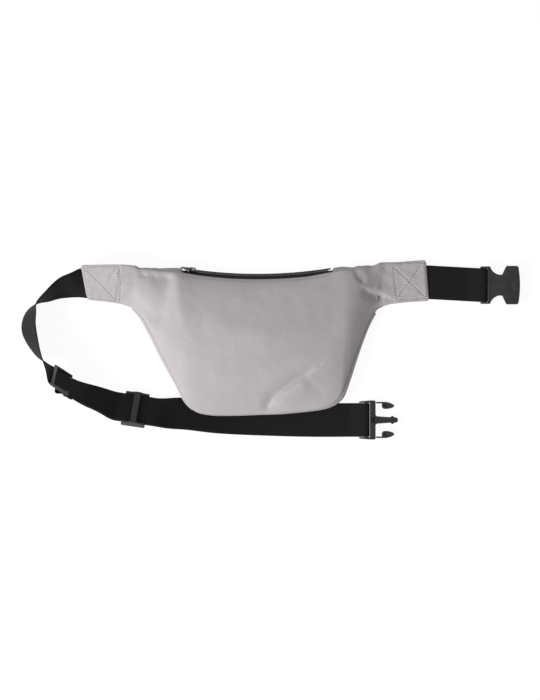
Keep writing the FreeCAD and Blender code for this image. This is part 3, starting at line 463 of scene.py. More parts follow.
def gussetGrid():
    values = gusset
    dense = np.linspace(values["startX"], values["endX"], 1600)
    path = np.stack([dense, bottomY(dense)], axis=-1)
    place = np.concatenate([[0], np.cumsum(np.hypot(*np.diff(path, axis=0).T))])
    wanted = np.linspace(0, place[-1], int(place[-1] / values["step"]))
    x = np.interp(wanted, place, path[:, 0])
    y = np.interp(wanted, place, path[:, 1])
    out = np.stack([np.gradient(y), -np.gradient(x)], axis=-1)
    out /= np.linalg.norm(out, axis=1)[:, None]
    high = backHeight(x, y) - values["topDrop"]
    low = frontSeam(x) + values["lowLift"]
    share = np.minimum(1.0, (high - low) / values["fullHeight"])
    bulge = np.maximum(values["leastBulge"], values["bulge"] * share) + 0.4
    v = np.linspace(0, 1, values["rows"])
    swell = np.sin(math.pi * np.clip(v, 0.02, 0.98)) ** 0.75
    gather = 1 + values["gather"] * np.sin(wanted * values["gatherRate"])[:, None] * (1 - swell[None, :])
    under = 1 - (1 - values["tucked"]) * smoothStep(95.0, 60.0, np.abs(x - bagShape["zipMiddle"]))
    outward = bulge[:, None] * under[:, None] * swell[None, :] * gather - values["seamInset"]
    z = high[:, None] + (low - high)[:, None] * v[None, :]
    grid = np.stack([
        x[:, None] + out[:, 0:1] * outward, y[:, None] + out[:, 1:2] * outward, z,
    ], axis=-1)
    along = np.repeat(wanted[:, None], len(v), 1)
    across = np.repeat(v[None, :] * values["clothWidth"], len(x), 0)
    return grid, np.stack([along, across, z * 0], axis=-1)


gussetPoints, gussetCoord = gussetGrid()
gussetCloth = addMesh(
    "gussetCloth", gussetPoints.reshape(-1, 3), gridFaces(*gussetPoints.shape[:2]))
setCoord(gussetCloth, gussetCoord.reshape(-1, 3))
giveThickness(gussetCloth, bagShape["clothThick"], -1.0)

frontPanel = {
    "startX": -136.8, "endX": 139.8, "columns": 170, "rows": 70, "lowInset": 1.2, "topInset": 2.0,
    "rimRun": 32.0, "topRun": 12.0, "topLift": 1.0, "least": 0.04, "sag": 0.5,
    "leftJoin": -133.5, "rightJoin": 136.0, "endRun": 20.0, "endGap": 1.3,
    "waves": [(17.0, 5.5, 1.0), (8.0, 2.2, 0.5)],
}


def endLift(x):
    # towards both wings the front panel rises to the back panel and is sewn to it
    run = frontPanel["endRun"]
    left, right = frontPanel["leftJoin"], frontPanel["rightJoin"]
    return np.maximum(smoothStep(left + run, left, x), smoothStep(right - run, right, x))


def frontGrid():
    values = frontPanel
    xs = np.linspace(values["startX"], values["endX"], values["columns"])
    yLow = bottomY(xs) + values["lowInset"]
    yHigh = frontTopY(xs) - values["topInset"]
    seam = frontSeam(xs) - 1.0
    s = np.linspace(0, 1, values["rows"])
    y = yLow[:, None] + (yHigh - yLow)[:, None] * s[None, :]
    x = np.repeat(xs[:, None], len(s), 1)
    run = np.minimum(values["rimRun"], 0.55 * (yHigh - yLow))[:, None]
    rim = seam[:, None] * (1 - smoothStep(0.0, 1.0, (y - yLow[:, None]) / run))
    top = (values["topLift"] - 0.4) * (1 - smoothStep(0.0, values["topRun"], yHigh[:, None] - y))
    z = np.maximum(rim + top, values["least"])
    wave = np.maximum(rippleSum(x, y, values["waves"]), 0)
    z = z + values["sag"] * wave * smoothStep(0.0, 2.0, z)
    z = np.maximum(z, endLift(x) * (backHeight(x, y) - values["endGap"]))
    return np.stack([x, y, z], axis=-1)


frontPoints = frontGrid()
frontPanelCloth = addSheet("frontPanelCloth", frontPoints, frontPoints, bagShape["clothThick"], upward=True)


topGusset = {
    "left": (-134.0, -81.0), "right": (89.0, 136.0), "columns": 40, "rows": 14, "inset": 0.4,
    "drop": 1.5, "overFront": 0.8, "endGap": 0.2, "bulge": 0.7, "gather": 0.4, "gatherRate": 0.5,
}


def topGussetSheet(name, ends):
    values = topGusset
    xs = np.linspace(ends[0], ends[1], values["columns"])
    v = np.linspace(0, 1, values["rows"])
    yHigh, yLow = topY(xs) - values["inset"], frontTopY(xs) - values["inset"]
    zHigh = backHeight(xs, topY(xs)) - values["drop"]
    zLow = np.maximum(
        frontPanel["topLift"] + values["overFront"], endLift(xs) * (zHigh - values["endGap"]))
    gather = 1 + values["gather"] * np.sin(xs * values["gatherRate"])
    swell = values["bulge"] * np.sin(math.pi * v)[None, :] * gather[:, None]
    y = yHigh[:, None] + (yLow - yHigh)[:, None] * v[None, :] + swell
    z = zHigh[:, None] + (zLow - zHigh)[:, None] * v[None, :]
    grid = np.stack([np.repeat(xs[:, None], len(v), 1), y, z], axis=-1)
    piece = addMesh(name, grid.reshape(-1, 3), gridFaces(*grid.shape[:2]))
    setCoord(piece, grid[..., [0, 2, 1]].reshape(-1, 3))
    giveThickness(piece, bagShape["clothThick"], 0.0)
    return piece


topGussetLeft = topGussetSheet("topGussetLeft", topGusset["left"])
topGussetRight = topGussetSheet("topGussetRight", topGusset["right"])


def facingSheet(name, corners, heights):
    # second layer under a tab, corners given in order round it
    count = 30
    a = np.linspace(0, 1, count)
    (x0, y0), (x1, y1), (x2, y2), (x3, y3) = corners
    top = np.stack([x0 + (x1 - x0) * a, y0 + (y1 - y0) * a], axis=-1)
    low = np.stack([x3 + (x2 - x3) * a, y3 + (y2 - y3) * a], axis=-1)
    plan = top[:, None, :] + (low - top)[:, None, :] * a[None, :, None]
    z = heights(plan[..., 0], plan[..., 1]) + 0.08 * rippleAt(plan[..., 0], plan[..., 1], 7.0, 9.4)
    grid = np.concatenate([plan, z[..., None]], axis=-1)
    return addSheet(name, grid, grid, bagShape["clothThick"])


facing = {
    "left": [(-193.6, 89.0), (-139.5, 88.6), (-139.5, 46.0), (-187.6, 52.0)],
    "right": [(143.0, 92.0), (193.2, 94.4), (196.4, 50.6), (143.0, 45.0)],
    "leftDrop": 0.9, "leftGap": 0.15, "rightHeight": 1.15,
}
facingLeft = facingSheet(
    "facingLeft", facing["left"], lambda x, y: leftTabZ(y, -facing["leftDrop"]) - facing["leftGap"])
facingRight = facingSheet("facingRight", facing["right"], lambda x, y: facing["rightHeight"] + 0 * x)
print("gusset, front panel and facings made")


# Webbing and tapes: a flat band with rounded selvedges along a list of edge pairs

selvedge = {
    "beadInset": 1.4, "beadWidth": 0.7, "flatStart": 0.5, "points": 17, "thinning": 0.3,
    "thinWidth": 0.4, "shoulder": 0.1, "shoulderHeight": 0.55, "swayRate": 0.21,
}


def bandPiece(name, rows, thick, beadHeight, step, wave=0.0):
    # each row holds both edges of the band's middle layer: x, y, z, x, y, z
    rows = cubicThrough(rows, step)
    low, high = rows[:, :3], rows[:, 3:]
    across = high - low
    width = np.linalg.norm(across, axis=1)[:, None]
    across /= width
    ahead = np.gradient((low + high) / 2, axis=0)
    length = np.concatenate([[0], np.cumsum(np.linalg.norm(ahead, axis=1))[1:]])
    normal = np.cross(across, ahead)
    normal /= np.linalg.norm(normal, axis=1)[:, None]
    full = float(width.mean())
    half = thick / 2
    values = selvedge
    bead = min(values["beadInset"], full / 6)
    first, last = values["flatStart"], full - values["flatStart"]
    count = values["points"]
    outline = []
    for side, places in ((1, np.linspace(first, last, count)), (-1, np.linspace(last, first, count))):
        for a in places:
            near = min(a, full - a)
            lift = beadHeight * math.exp(-((near - bead) / values["beadWidth"]) ** 2)
            lift -= values["thinning"] * half * math.exp(-near / values["thinWidth"])
            outline.append((a, side * (half + lift)))
        shoulder, height = values["shoulder"], values["shoulderHeight"]
        outline.append((full - shoulder if side > 0 else shoulder, side * half * height))
        outline.append((full if side > 0 else 0.0, 0.0))
        outline.append((full - shoulder if side > 0 else shoulder, -side * half * height))
    a = np.array([p[0] for p in outline])
    n = np.array([p[1] for p in outline])
    sway = wave * np.sin(length * values["swayRate"])[:, None] * np.sin(math.pi * a / full)[None, :]
    grid = (low[:, None, :] + across[:, None, :] * (a[None, :] * width / full)[..., None]
            + normal[:, None, :] * (n[None, :] + sway)[..., None])
    count, cols = grid.shape[:2]
    faces = gridFaces(count, cols, closedCols=True)
    faces.append(tuple(range(cols)))
    faces.append(tuple(range((count - 1) * cols, count * cols))[::-1])
    piece = addMesh(name, grid.reshape(-1, 3), faces)
    coord = np.stack([
        np.repeat(length[:, None], cols, 1), np.repeat(a[None, :], count, 0), np.repeat(n[None, :], count, 0),
    ], axis=-1)
    setCoord(piece, coord.reshape(-1, 3))
    if piece.data.polygons[0].normal.dot(Vector(normal[0])) < 0:
        piece.data.flip_normals()
    return piece


webbing = {
    "width": 38.0, "thick": 1.5, "gap": 0.3, "turn": 3.15, "bead": 0.12, "step": 1.6,
    "plugBar": (126.4, -84.4, 3.9), "socketBar": (259.1, 67.4, 5.5),
    "endPin": 1.2, "fit": 0.3,
}

# The belt's lower edge as (x, y, z), heading of its width in plan and roll from flat
beltStart = [(-152, 51.5, 3.2, 93, 26), (-189.6, 53.3, 3.2, 97, 27.5)]
beltLoop = [
    (-197.4, 54.2, 2.4, 104.8, 41), (-211.5, 53.8, 1, 103.4, 52), (-222.8, 52.2, 0.4, 103.7, 64),
    (-232.9, 49.5, 0.2, 112.2, 76), (-244.4, 47.3, 0.2, 150, 90), (-254.8, 39.9, 0.9, -9.9, 75),
    (-261.7, 25.8, 1, 0, 65), (-261.8, 14.6, 1, 2.7, 63), (-255.9, 1.1, 1.4, 9.5, 69),
    (-248.6, -9, 2.6, 7.6, 77), (-243.6, -14.4, 4.4, 8, 82), (-236.4, -19.2, 6.8, -60, 89),
    (-231.0, -22.6, 9, -97, 74),
]
endZone = [(-226.4, -24.9, 11.2, -101, 61), (-204.3, -38.3, 6.0, -101, 61)]
beltMiddle = [(-183.4, -45.2, 5.4, -107, 53), (-166, -50, 6.3, -104, 46)]
slideZone = [(-153, -53.6, 7, -99, 37), (-109, -60.3, 7, -99, 37)]
beltFlat = [
    (-92, -59.8, 6, -95, 27), (-78.8, -59.4, 5, -93.7, 22), (-50, -61.5, 3.4, -92.5, 15),
    (-19.1, -63, 2.2, -91.5, 7), (20, -64.4, 2, -90.5, 1), (60, -65.4, 2, -90, 0), (108, -65.4, 2, -90, 0),
]


def bothEdges(row):
    x, y, z, heading, roll = row
    flat = math.cos(math.radians(roll)) * webbing["width"]
    return [
        x, y, z, x + flat * math.cos(math.radians(heading)), y + flat * math.sin(math.radians(heading)),
        z + math.sin(math.radians(roll)) * webbing["width"],
    ]


def offsetRows(rows, away):
    low, high = rows[:, :3], rows[:, 3:]
    ahead = np.gradient((low + high) / 2, axis=0)
    normal = np.cross(high - low, ahead)
    normal /= np.linalg.norm(normal, axis=1)[:, None]
    for _ in range(3):
        normal[1:-1] = (normal[:-2] + normal[1:-1] * 2 + normal[2:]) / 4
    normal /= np.linalg.norm(normal, axis=1)[:, None]
    return np.concatenate([low + normal * away, high + normal * away], axis=1)


def turnRows(bar, radius, start, end, count):
    x, y, z = bar
    rows = []
    for angle in np.linspace(start, end, count):
        px = x + radius * math.cos(math.radians(angle))
        pz = z + radius * math.sin(math.radians(angle))
        half = webbing["width"] / 2
        rows.append([px, y + half, pz, px, y - half, pz])
    return rows


def adjusterPlace():
    # middle of the sewn adjuster on the belt, with its own axes
    start, end = np.array(bothEdges(endZone[0])), np.array(bothEdges(endZone[1]))
    along = end[:3] - start[:3]
    along /= np.linalg.norm(along)
    across = start[3:] - start[:3]
    normal = np.cross(across, along)
    normal /= np.linalg.norm(normal)
    return (start[:3] + start[3:] + end[:3] + end[3:]) / 4, along, np.cross(along, normal), normal


def pinLevel():
    # the adjuster's middle bar, below the strap's upper layer
    return -(webbing["gap"] + webbing["thick"] + webbing["fit"] + webbing["endPin"])


# The strap's sewn end round the adjuster's middle bar, as places along the strap
sewnLoop = {"start": 3.4, "tail": (5.0, 12.0, 19.0)}


def beltRows():
    stations = [bothEdges(row) for row in beltStart + beltLoop + endZone + beltMiddle + slideZone + beltFlat]
    # straight stretches are held straight by extra rows
    held = []
    straight = [0, len(beltStart + beltLoop), len(beltStart + beltLoop + endZone + beltMiddle)]
    for i, row in enumerate(stations):
        held.append(row)
        if i in straight:
            following = np.array(stations[i + 1])
            held.extend([list(np.array(row) + (following - row) * k / 5) for k in range(1, 5)])
    main = cubicThrough(held, 4.0)
    middle = webbing["thick"] / 2
    upper = offsetRows(main, middle)
    lower = offsetRows(main, -webbing["gap"] - middle)
    # the return layer starts at the sewn adjuster
    doubled = int(np.argmin(np.linalg.norm(main[:, :3] - np.array(endZone[1][:3]), axis=1)))
    ring = turnRows(webbing["plugBar"], webbing["turn"], 90, -90, 13)
    centre, ahead, across, normal = adjusterPlace()
    low = centre - across * webbing["width"] / 2

    def place(s, n):
        point = low + ahead * s + normal * n
        return list(point) + list(point + across * webbing["width"])

    pinDepth = pinLevel()
    radius = webbing["endPin"] + webbing["fit"] + webbing["thick"] / 2
    tail = -webbing["gap"] - 1.5 * webbing["thick"] - 0.2
    loop = [place(sewnLoop["start"], -webbing["gap"] - middle)]
    for angle in range(90, 270, 25):
        loop.append(place(
            radius * math.cos(math.radians(angle)), pinDepth + radius * math.sin(math.radians(angle))))
    loop += [place(along, tail) for along in sewnLoop["tail"]]
    return list(upper) + ring + list(lower[doubled + 2:][::-1]) + loop


beltWebbing = bandPiece("beltWebbing", beltRows(), webbing["thick"], webbing["bead"], webbing["step"])


strap = {
    "startX": 155.0, "slant": 3.2, "level": 4.0, "upperZ": 4.25, "lowerZ": 2.45, "upperEnd": 240.0,
    "lowerEnd": 244.0, "count": 18,
}


def strapRows():
    # short strap: out over the socket's bar and back under itself
    values = strap
    barX, barY, _ = webbing["socketBar"]
    slope = math.tan(math.radians(values["slant"]))
    half = webbing["width"] / 2

    def row(x, z):
        y = barY + slope * max(0.0, barX - values["level"] - x)
        return [x, y + half, z, x, y - half, z]

    outward = np.linspace(values["startX"], values["upperEnd"], values["count"])
    inward = np.linspace(values["lowerEnd"], values["startX"], values["count"])
    top = [row(x, values["upperZ"]) for x in outward]
    under = [row(x, values["lowerZ"]) for x in inward]
    return top + turnRows(webbing["socketBar"], webbing["turn"], 90, -90, 13) + under


buckleStrap = bandPiece("buckleStrap", strapRows(), webbing["thick"], webbing["bead"], webbing["step"])
print("webbing made")

# Moulded bars: the sewn adjuster's frame, and the web that closes the socket behind its bar

adjuster = {
    "length": 24.0, "railWidth": 2.2, "railGap": 0.6, "bar": 1.8, "barWidth": 3.6, "railHeight": 3.2,
    "pin": 2.4, "postInset": 5.0, "barInset": 4.5, "underGap": 0.5, "railStart": 0.6, "railEnd": 1.4,
    "postTop": 1.0, "postFoot": 0.6,
}
socketWeb = {"x": 264.1, "y": 67.4, "z": 5.5, "halfLength": 19.2, "width": 2.2, "height": 6.4}


def addBar(points, faces, start, end, wide, tall, up):
    # bar with a rounded section and eased ends
    start, end, up = np.array(start, float), np.array(end, float), np.array(up, float)
    ahead = (end - start) / np.linalg.norm(end - start)
    side = np.cross(up, ahead)
    side /= np.linalg.norm(side)
    up = np.cross(ahead, side)
    ease = 0.3 * min(wide, tall)
    length = np.linalg.norm(end - start)
    sides = 16
    base = len(points)
    entry = [(0.0, 0.55), (0.3 * ease, 0.85), (ease, 1.0)]
    rings = entry + [(length - place, scale) for place, scale in entry[::-1]]
    for place, scale in rings:
        for k in range(sides):
            angle = 2 * math.pi * (k + 0.5) / sides
            c, v = math.cos(angle), math.sin(angle)
            a = math.copysign(abs(c) ** 0.5, c) * (wide / 2 - ease * (1 - scale))
            b = math.copysign(abs(v) ** 0.5, v) * (tall / 2 - ease * (1 - scale))
            points.append(start + ahead * place + side * a + up * b)
    faces.extend(tubeFaces(base, len(rings), sides))


def makeAdjuster():
    centre, along, across, normal = adjusterPlace()
    values = adjuster
    half = values["length"] / 2
    reach = webbing["width"] / 2 + values["railGap"] + values["railWidth"] / 2
    over = webbing["thick"] + webbing["fit"] + values["bar"] / 2
    under = -webbing["gap"] - 2 * webbing["thick"] - values["underGap"] - values["bar"] / 2
    pinDepth = pinLevel()

    def at(s, a, n):
        return centre + along * s + across * a + normal * n

    points, faces = [], []
    edge = values["barWidth"] / 2
    for side in (-1, 1):
        a = side * reach
        addBar(points, faces, at(-half, a, over - values["railStart"]), at(half, a, over - values["railEnd"]),
               values["railWidth"], values["railHeight"], normal)
        # the rails turn down to the far bar, which lies under the strap
        inner = a - side * values["postInset"]
        addBar(points, faces, at(half - edge, inner, over - values["postTop"]),
               at(half - edge, inner, under - values["postFoot"]),
               values["barWidth"], values["railWidth"], across)
    addBar(points, faces, at(edge - half, -reach, over), at(edge - half, reach, over),
           values["barWidth"], values["bar"], normal)
    short = reach - values["barInset"]
    addBar(points, faces, at(half - edge, -short, under), at(half - edge, short, under),
           values["barWidth"], values["bar"], normal)
    addBar(points, faces, at(0, -short, pinDepth), at(0, short, pinDepth),
           values["pin"], values["pin"], normal)
    return addMesh("strapEndAdjuster", points, faces)


def makeSocketWeb():
    points, faces = [], []
    values = socketWeb
    addBar(points, faces, (values["x"], values["y"] - values["halfLength"], values["z"]),
           (values["x"], values["y"] + values["halfLength"], values["z"]),
           values["width"], values["height"], (0, 0, 1))
    return addMesh("socketCrossWeb", points, faces)


endAdjuster = makeAdjuster()
crossWeb = makeSocketWeb()

zipBand = {
    "tapeWidth": 4.9, "tapeThick": 0.6, "total": 15.2, "topZ": 15.7, "end": 83.4, "inset": 0.5, "rows": 60,
}


def zipTape(name, u0, u1):
    lean = math.radians(bagShape["zipLean"])
    centreX, centreY = bagShape["zipMiddle"], bagShape["zipTopY"] + bagShape["zipRadius"]
    v = zipBand["tapeThick"] / 2
    rows = []
    for distance in np.linspace(-zipBand["end"], zipBand["end"], zipBand["rows"]):
        angle = distance / bagShape["zipRadius"]
        row = []
        for u in (u0, u1):
            y = bagShape["zipTopY"] + zipBand["inset"] + u * math.sin(lean) + v * math.cos(lean)
            radius = centreY - y
            row += [
                centreX + radius * math.sin(angle), centreY - radius * math.cos(angle),
                zipBand["topZ"] - u * math.cos(lean) + v * math.sin(lean),
            ]
        rows.append(row)
    return bandPiece(name, rows, zipBand["tapeThick"], 0.0, 1.5, wave=0.06)


zipTapeUpper = zipTape("zipTapeUpper", 0.0, zipBand["tapeWidth"])
zipTapeLower = zipTape("zipTapeLower", zipBand["total"] - zipBand["tapeWidth"], zipBand["total"])


# Thread: each stitch is a short tube that dips into the cloth at both ends

thread = {
    "pitch": 3.1, "length": 2.3, "radius": 0.24, "sides": 6, "lift": 0.16,
    "shares": (0.0, 0.12, 0.35, 0.65, 0.88, 1.0), "arch": 2.2, "dip": 0.9, "endScale": 0.55,
}


def stitchLine(points, faces, path, heightAt):
    lengths = [math.dist(a, b) for a, b in zip(path, path[1:])]
    total = sum(lengths)
    count = max(1, int(total / thread["pitch"]))
    spare = (total - count * thread["pitch"]) / 2

    def pointAt(distance):
        for (ax, ay), (bx, by), length in zip(path, path[1:], lengths):
            if distance <= length or (bx, by) == path[-1]:
                t = distance / length
                return ax + (bx - ax) * t, ay + (by - ay) * t
            distance -= length
        return path[-1]

    for k in range(count):
        start = spare + k * thread["pitch"] + (thread["pitch"] - thread["length"]) / 2
        rings = []
        for share in thread["shares"]:
            x, y = pointAt(start + share * thread["length"])
            ground = heightAt(x, y)
            if ground is None:
                break
            arch = math.sin(math.pi * share)
            height = ground + thread["lift"] * (thread["arch"] * arch - thread["dip"])
            rings.append((x, y, height, thread["endScale"] + (1 - thread["endScale"]) * arch))
        if len(rings) < len(thread["shares"]):
            continue
        dx, dy = rings[-1][0] - rings[0][0], rings[-1][1] - rings[0][1]
        size = math.hypot(dx, dy)
        sideX, sideY = -dy / size, dx / size
        base = len(points)
        for x, y, z, scale in rings:
            for i in range(thread["sides"]):
                angle = 2 * math.pi * i / thread["sides"]
                a = thread["radius"] * scale * math.cos(angle)
                b = thread["radius"] * scale * math.sin(angle)
                points.append((x + sideX * a, y + sideY * a, z + b))
        faces.extend(tubeFaces(base, len(rings), thread["sides"]))


def stitchPiece(name, lines, heightAt):
    points, faces = [], []
    for line in lines:
        stitchLine(points, faces, line, heightAt)
    return addMesh(name, points, faces)


stitchesLeft = stitchPiece("tabStitchesLeft", tabSeams["left"], panelZ)
stitchesRight = stitchPiece("tabStitchesRight", tabSeams["right"] + tabSeams["faint"], panelZ)
hemXs = np.linspace(-78.0, 84.0, 60)
hemLine = [(float(x), float(topY(np.array([x]))[0]) - backPanel["hemInset"]) for x in hemXs]
zipStitches = stitchPiece("zipStitches", [hemLine], panelZ)
print("stitches made")


# Node groups and materials

def link(tree, value, socket):
    if isinstance(value, (int, float, tuple)):
        socket.default_value = value
    else:
        tree.links.new(value, socket)


def mathNode(tree, operation, first, second=None, third=None):
    made = tree.nodes.new("ShaderNodeMath")
    made.operation = operation
    for value, socket in zip((first, second, third), made.inputs):
        if value is not None:
            link(tree, value, socket)
    return made.outputs[0]


def scaled(tree, vector, factors):
    made = tree.nodes.new("ShaderNodeVectorMath")
    made.operation = "MULTIPLY"
    link(tree, vector, made.inputs[0])
    made.inputs[1].default_value = factors
    return made.outputs[0]


def noiseNode(tree, vector, scale, detail=2.0, roughness=0.5):
    made = tree.nodes.new("ShaderNodeTexNoise")
    made.inputs["Scale"].default_value = scale
    made.inputs["Detail"].default_value = detail
    made.inputs["Roughness"].default_value = roughness
    link(tree, vector, made.inputs["Vector"])
    return made.outputs["Fac"]


def mixColor(tree, factor, first, second):
    made = tree.nodes.new("ShaderNodeMix")
    made.data_type = "RGBA"
    link(tree, factor, made.inputs["Factor"])
    link(tree, first, made.inputs[6])
    link(tree, second, made.inputs[7])
    return made.outputs[2]


def ranged(tree, value, low, high, outLow, outHigh):
    made = tree.nodes.new("ShaderNodeMapRange")
    for number, socket in zip((low, high, outLow, outHigh), made.inputs[1:5]):
        socket.default_value = number
    link(tree, value, made.inputs[0])
    return made.outputs[0]


def newGroup(name, inputs, outputs):
    group = bpy.data.node_groups.new(name, "ShaderNodeTree")
    for label, kind, value in inputs:
        socket = group.interface.new_socket(label, in_out="INPUT", socket_type=kind)
        if value is not None:
            socket.default_value = value
    for label in outputs:
        group.interface.new_socket(label, in_out="OUTPUT", socket_type="NodeSocketFloat")
    start = group.nodes.new("NodeGroupInput")
    end = group.nodes.new("NodeGroupOutput")
    return group, start, end


def fineWeaveGroup():
    # plain weave with slightly stronger cross threads, and long faint streaks
    group, start, end = newGroup(
        "fineWeave", [("Place", "NodeSocketVector", None), ("Pitch", "NodeSocketFloat", 0.6)],
        ["Height", "Streak"])
    split = group.nodes.new("ShaderNodeSeparateXYZ")
    link(group, start.outputs["Place"], split.inputs[0])
    turn = mathNode(group, "DIVIDE", 2 * math.pi, start.outputs["Pitch"])
    wander = noiseNode(group, start.outputs["Place"], 0.08, 1.0)
    wander = mathNode(group, "MULTIPLY", wander, 5.0)
    warp = mathNode(group, "SINE", mathNode(group, "MULTIPLY_ADD", split.outputs[0], turn, wander))
    weft = mathNode(group, "SINE", mathNode(group, "MULTIPLY_ADD", split.outputs[1], turn, wander))
    check = mathNode(group, "MULTIPLY", warp, weft)
    height = mathNode(group, "MULTIPLY_ADD", check, 0.3, mathNode(group, "MULTIPLY", weft, 0.2))
    link(group, mathNode(group, "ADD", height, 0.5), end.inputs["Height"])
    streaks = noiseNode(group, scaled(group, start.outputs["Place"], (0.03, 0.9, 0.9)), 1.0, 3.0, 0.7)
    link(group, streaks, end.inputs["Streak"])
    return group


def bandWeaveGroup():
    # close twill of a flat band: slanting threads across, raised in rows along
    group, start, end = newGroup(
        "bandWeave", [("Place", "NodeSocketVector", None), ("Pitch", "NodeSocketFloat", 1.3)],
        ["Height", "Shade"])
    split = group.nodes.new("ShaderNodeSeparateXYZ")
    link(group, start.outputs["Place"], split.inputs[0])
    along = mathNode(group, "DIVIDE", split.outputs[0], start.outputs["Pitch"])
    across = mathNode(group, "DIVIDE", split.outputs[1], start.outputs["Pitch"])
    row = mathNode(group, "FLOOR", across)
    odd = mathNode(group, "MULTIPLY", mathNode(group, "MODULO", row, 2.0), 0.5)
    inRow = mathNode(group, "FRACT", across)
    slant = mathNode(group, "MULTIPLY_ADD", inRow, 0.35, odd)
    cell = mathNode(group, "FRACT", mathNode(group, "ADD", along, slant))
    rise = mathNode(group, "SINE", mathNode(group, "MULTIPLY", cell, math.pi))
    rib = mathNode(group, "SINE", mathNode(group, "MULTIPLY", inRow, math.pi))
    height = mathNode(group, "MULTIPLY", rise, mathNode(group, "POWER", rib, 0.6))
    link(group, height, end.inputs["Height"])
    link(group, noiseNode(group, start.outputs["Place"], 0.9, 3.0, 0.7), end.inputs["Shade"])
    return group


def mouldedGroup():
    # spark-eroded plastic: fine grain, faint flow marks, and edges rubbed a little lighter
    group, start, end = newGroup(
        "mouldedGrain", [("Place", "NodeSocketVector", None), ("Grain", "NodeSocketFloat", 2.2)],
        ["Height", "Cloud", "Edge"])
    grain = group.nodes.new("ShaderNodeTexNoise")
    grain.inputs["Detail"].default_value = 2.0
    link(group, start.outputs["Place"], grain.inputs["Vector"])
    link(group, start.outputs["Grain"], grain.inputs["Scale"])
    link(group, grain.outputs["Fac"], end.inputs["Height"])
    link(group, noiseNode(group, start.outputs["Place"], 0.12, 3.0, 0.6), end.inputs["Cloud"])
    surface = group.nodes.new("ShaderNodeNewGeometry")
    sharp = ranged(group, surface.outputs["Pointiness"], 0.52, 0.62, 0.0, 1.0)
    patchy = noiseNode(group, start.outputs["Place"], 0.8, 3.0, 0.7)
    link(group, mathNode(group, "MULTIPLY", sharp, patchy), end.inputs["Edge"])
    return group


fineWeave = fineWeaveGroup()
bandWeave = bandWeaveGroup()
mouldedGrain = mouldedGroup()


def newMaterial(name, roughness, specular):
    material = bpy.data.materials.new(name)
    material.use_nodes = True
    shader = material.node_tree.nodes["Principled BSDF"]
    shader.inputs["Roughness"].default_value = roughness
    shader.inputs["Specular IOR Level"].default_value = specular
    return material, material.node_tree, shader


def clothPlace(tree):
    made = tree.nodes.new("ShaderNodeAttribute")
    made.attribute_name = "clothCoord"
    return made.outputs["Vector"]


def objectPlace(tree):
    # place on the piece in millimetres
    made = tree.nodes.new("ShaderNodeTexCoord")
    return scaled(tree, made.outputs["Object"], (1000, 1000, 1000))


def useGroup(tree, group, place, **values):
    made = tree.nodes.new("ShaderNodeGroup")
    made.node_tree = group
    link(tree, place, made.inputs["Place"])
    for label, value in values.items():
        made.inputs[label].default_value = value
    return made


def addBump(tree, shader, height, strength, distance):
    bump = tree.nodes.new("ShaderNodeBump")
    bump.inputs["Strength"].default_value = strength
    bump.inputs["Distance"].default_value = distance * mm
    link(tree, height, bump.inputs["Height"])
    link(tree, bump.outputs[0], shader.inputs["Normal"])


greyCloth = {
    "light": (0.455, 0.425, 0.433, 1), "dark": (0.395, 0.37, 0.378, 1), "pitch": 0.62,
    "roughness": 0.62, "specular": 0.35, "bump": 0.35,
}


def greyClothMaterial(name, values):
    material, tree, shader = newMaterial(name, values["roughness"], values["specular"])
    place = clothPlace(tree)
    weave = useGroup(tree, fineWeave, place, Pitch=values["pitch"])
    cloud = noiseNode(tree, place, 0.018, 4.0, 0.55)
    patches = mathNode(tree, "MULTIPLY", cloud, 0.55)
    blend = mathNode(tree, "MULTIPLY_ADD", weave.outputs["Streak"], 0.45, patches)
    tone = ranged(tree, blend, 0.34, 0.66, 0.0, 1.0)
    colour = mixColor(tree, tone, values["dark"], values["light"])
    # painted shade: the cloth is painted a little darker in the hollows between the threads of the weave
    hollowShadeTone = ranged(tree, weave.outputs["Height"], 0.1, 0.9, 0.0, 1.0)
    deep = tuple(c * 0.93 for c in values["dark"][:3]) + (1,)
    colour = mixColor(tree, mathNode(tree, "MULTIPLY_ADD", hollowShadeTone, 0.2, 0.8), deep, colour)
    link(tree, colour, shader.inputs["Base Color"])
    rough = ranged(tree, cloud, 0.3, 0.7, values["roughness"] - 0.05, values["roughness"] + 0.06)
    link(tree, rough, shader.inputs["Roughness"])
    shader.inputs["Sheen Weight"].default_value = 0.06
    addBump(tree, shader, weave.outputs["Height"], values["bump"], 0.12)
    return material


blackWebbing = {
    "light": (0.0125, 0.0122, 0.013, 1), "dark": (0.0045, 0.0045, 0.005, 1), "pitch": 1.25,
    "roughness": 0.82, "specular": 0.18, "bump": 0.8, "depth": 0.25,
}
zipCloth = {
    "light": (0.012, 0.012, 0.0125, 1), "dark": (0.006, 0.006, 0.006, 1), "pitch": 0.7,
    "roughness": 0.85, "specular": 0.2, "bump": 0.5, "depth": 0.12,
}


def bandMaterial(name, values):
    material, tree, shader = newMaterial(name, values["roughness"], values["specular"])
    place = clothPlace(tree)
    weave = useGroup(tree, bandWeave, place, Pitch=values["pitch"])
    # partly painted shade: the band is painted darker in the hollows of the twill and lighter on its raised
    # threads, with random fuzz on top
    fuzz = mathNode(tree, "MULTIPLY_ADD", weave.outputs["Shade"], 0.5, -0.25)
    tone = mathNode(tree, "ADD", weave.outputs["Height"], fuzz)
    link(tree, mixColor(tree, tone, values["dark"], values["light"]), shader.inputs["Base Color"])
    rough = ranged(
        tree, weave.outputs["Shade"], 0.3, 0.7, values["roughness"] - 0.08, values["roughness"] + 0.08)
    link(tree, rough, shader.inputs["Roughness"])
    shader.inputs["Sheen Weight"].default_value = 0.03
    addBump(tree, shader, weave.outputs["Height"], values["bump"], values["depth"])
    return material


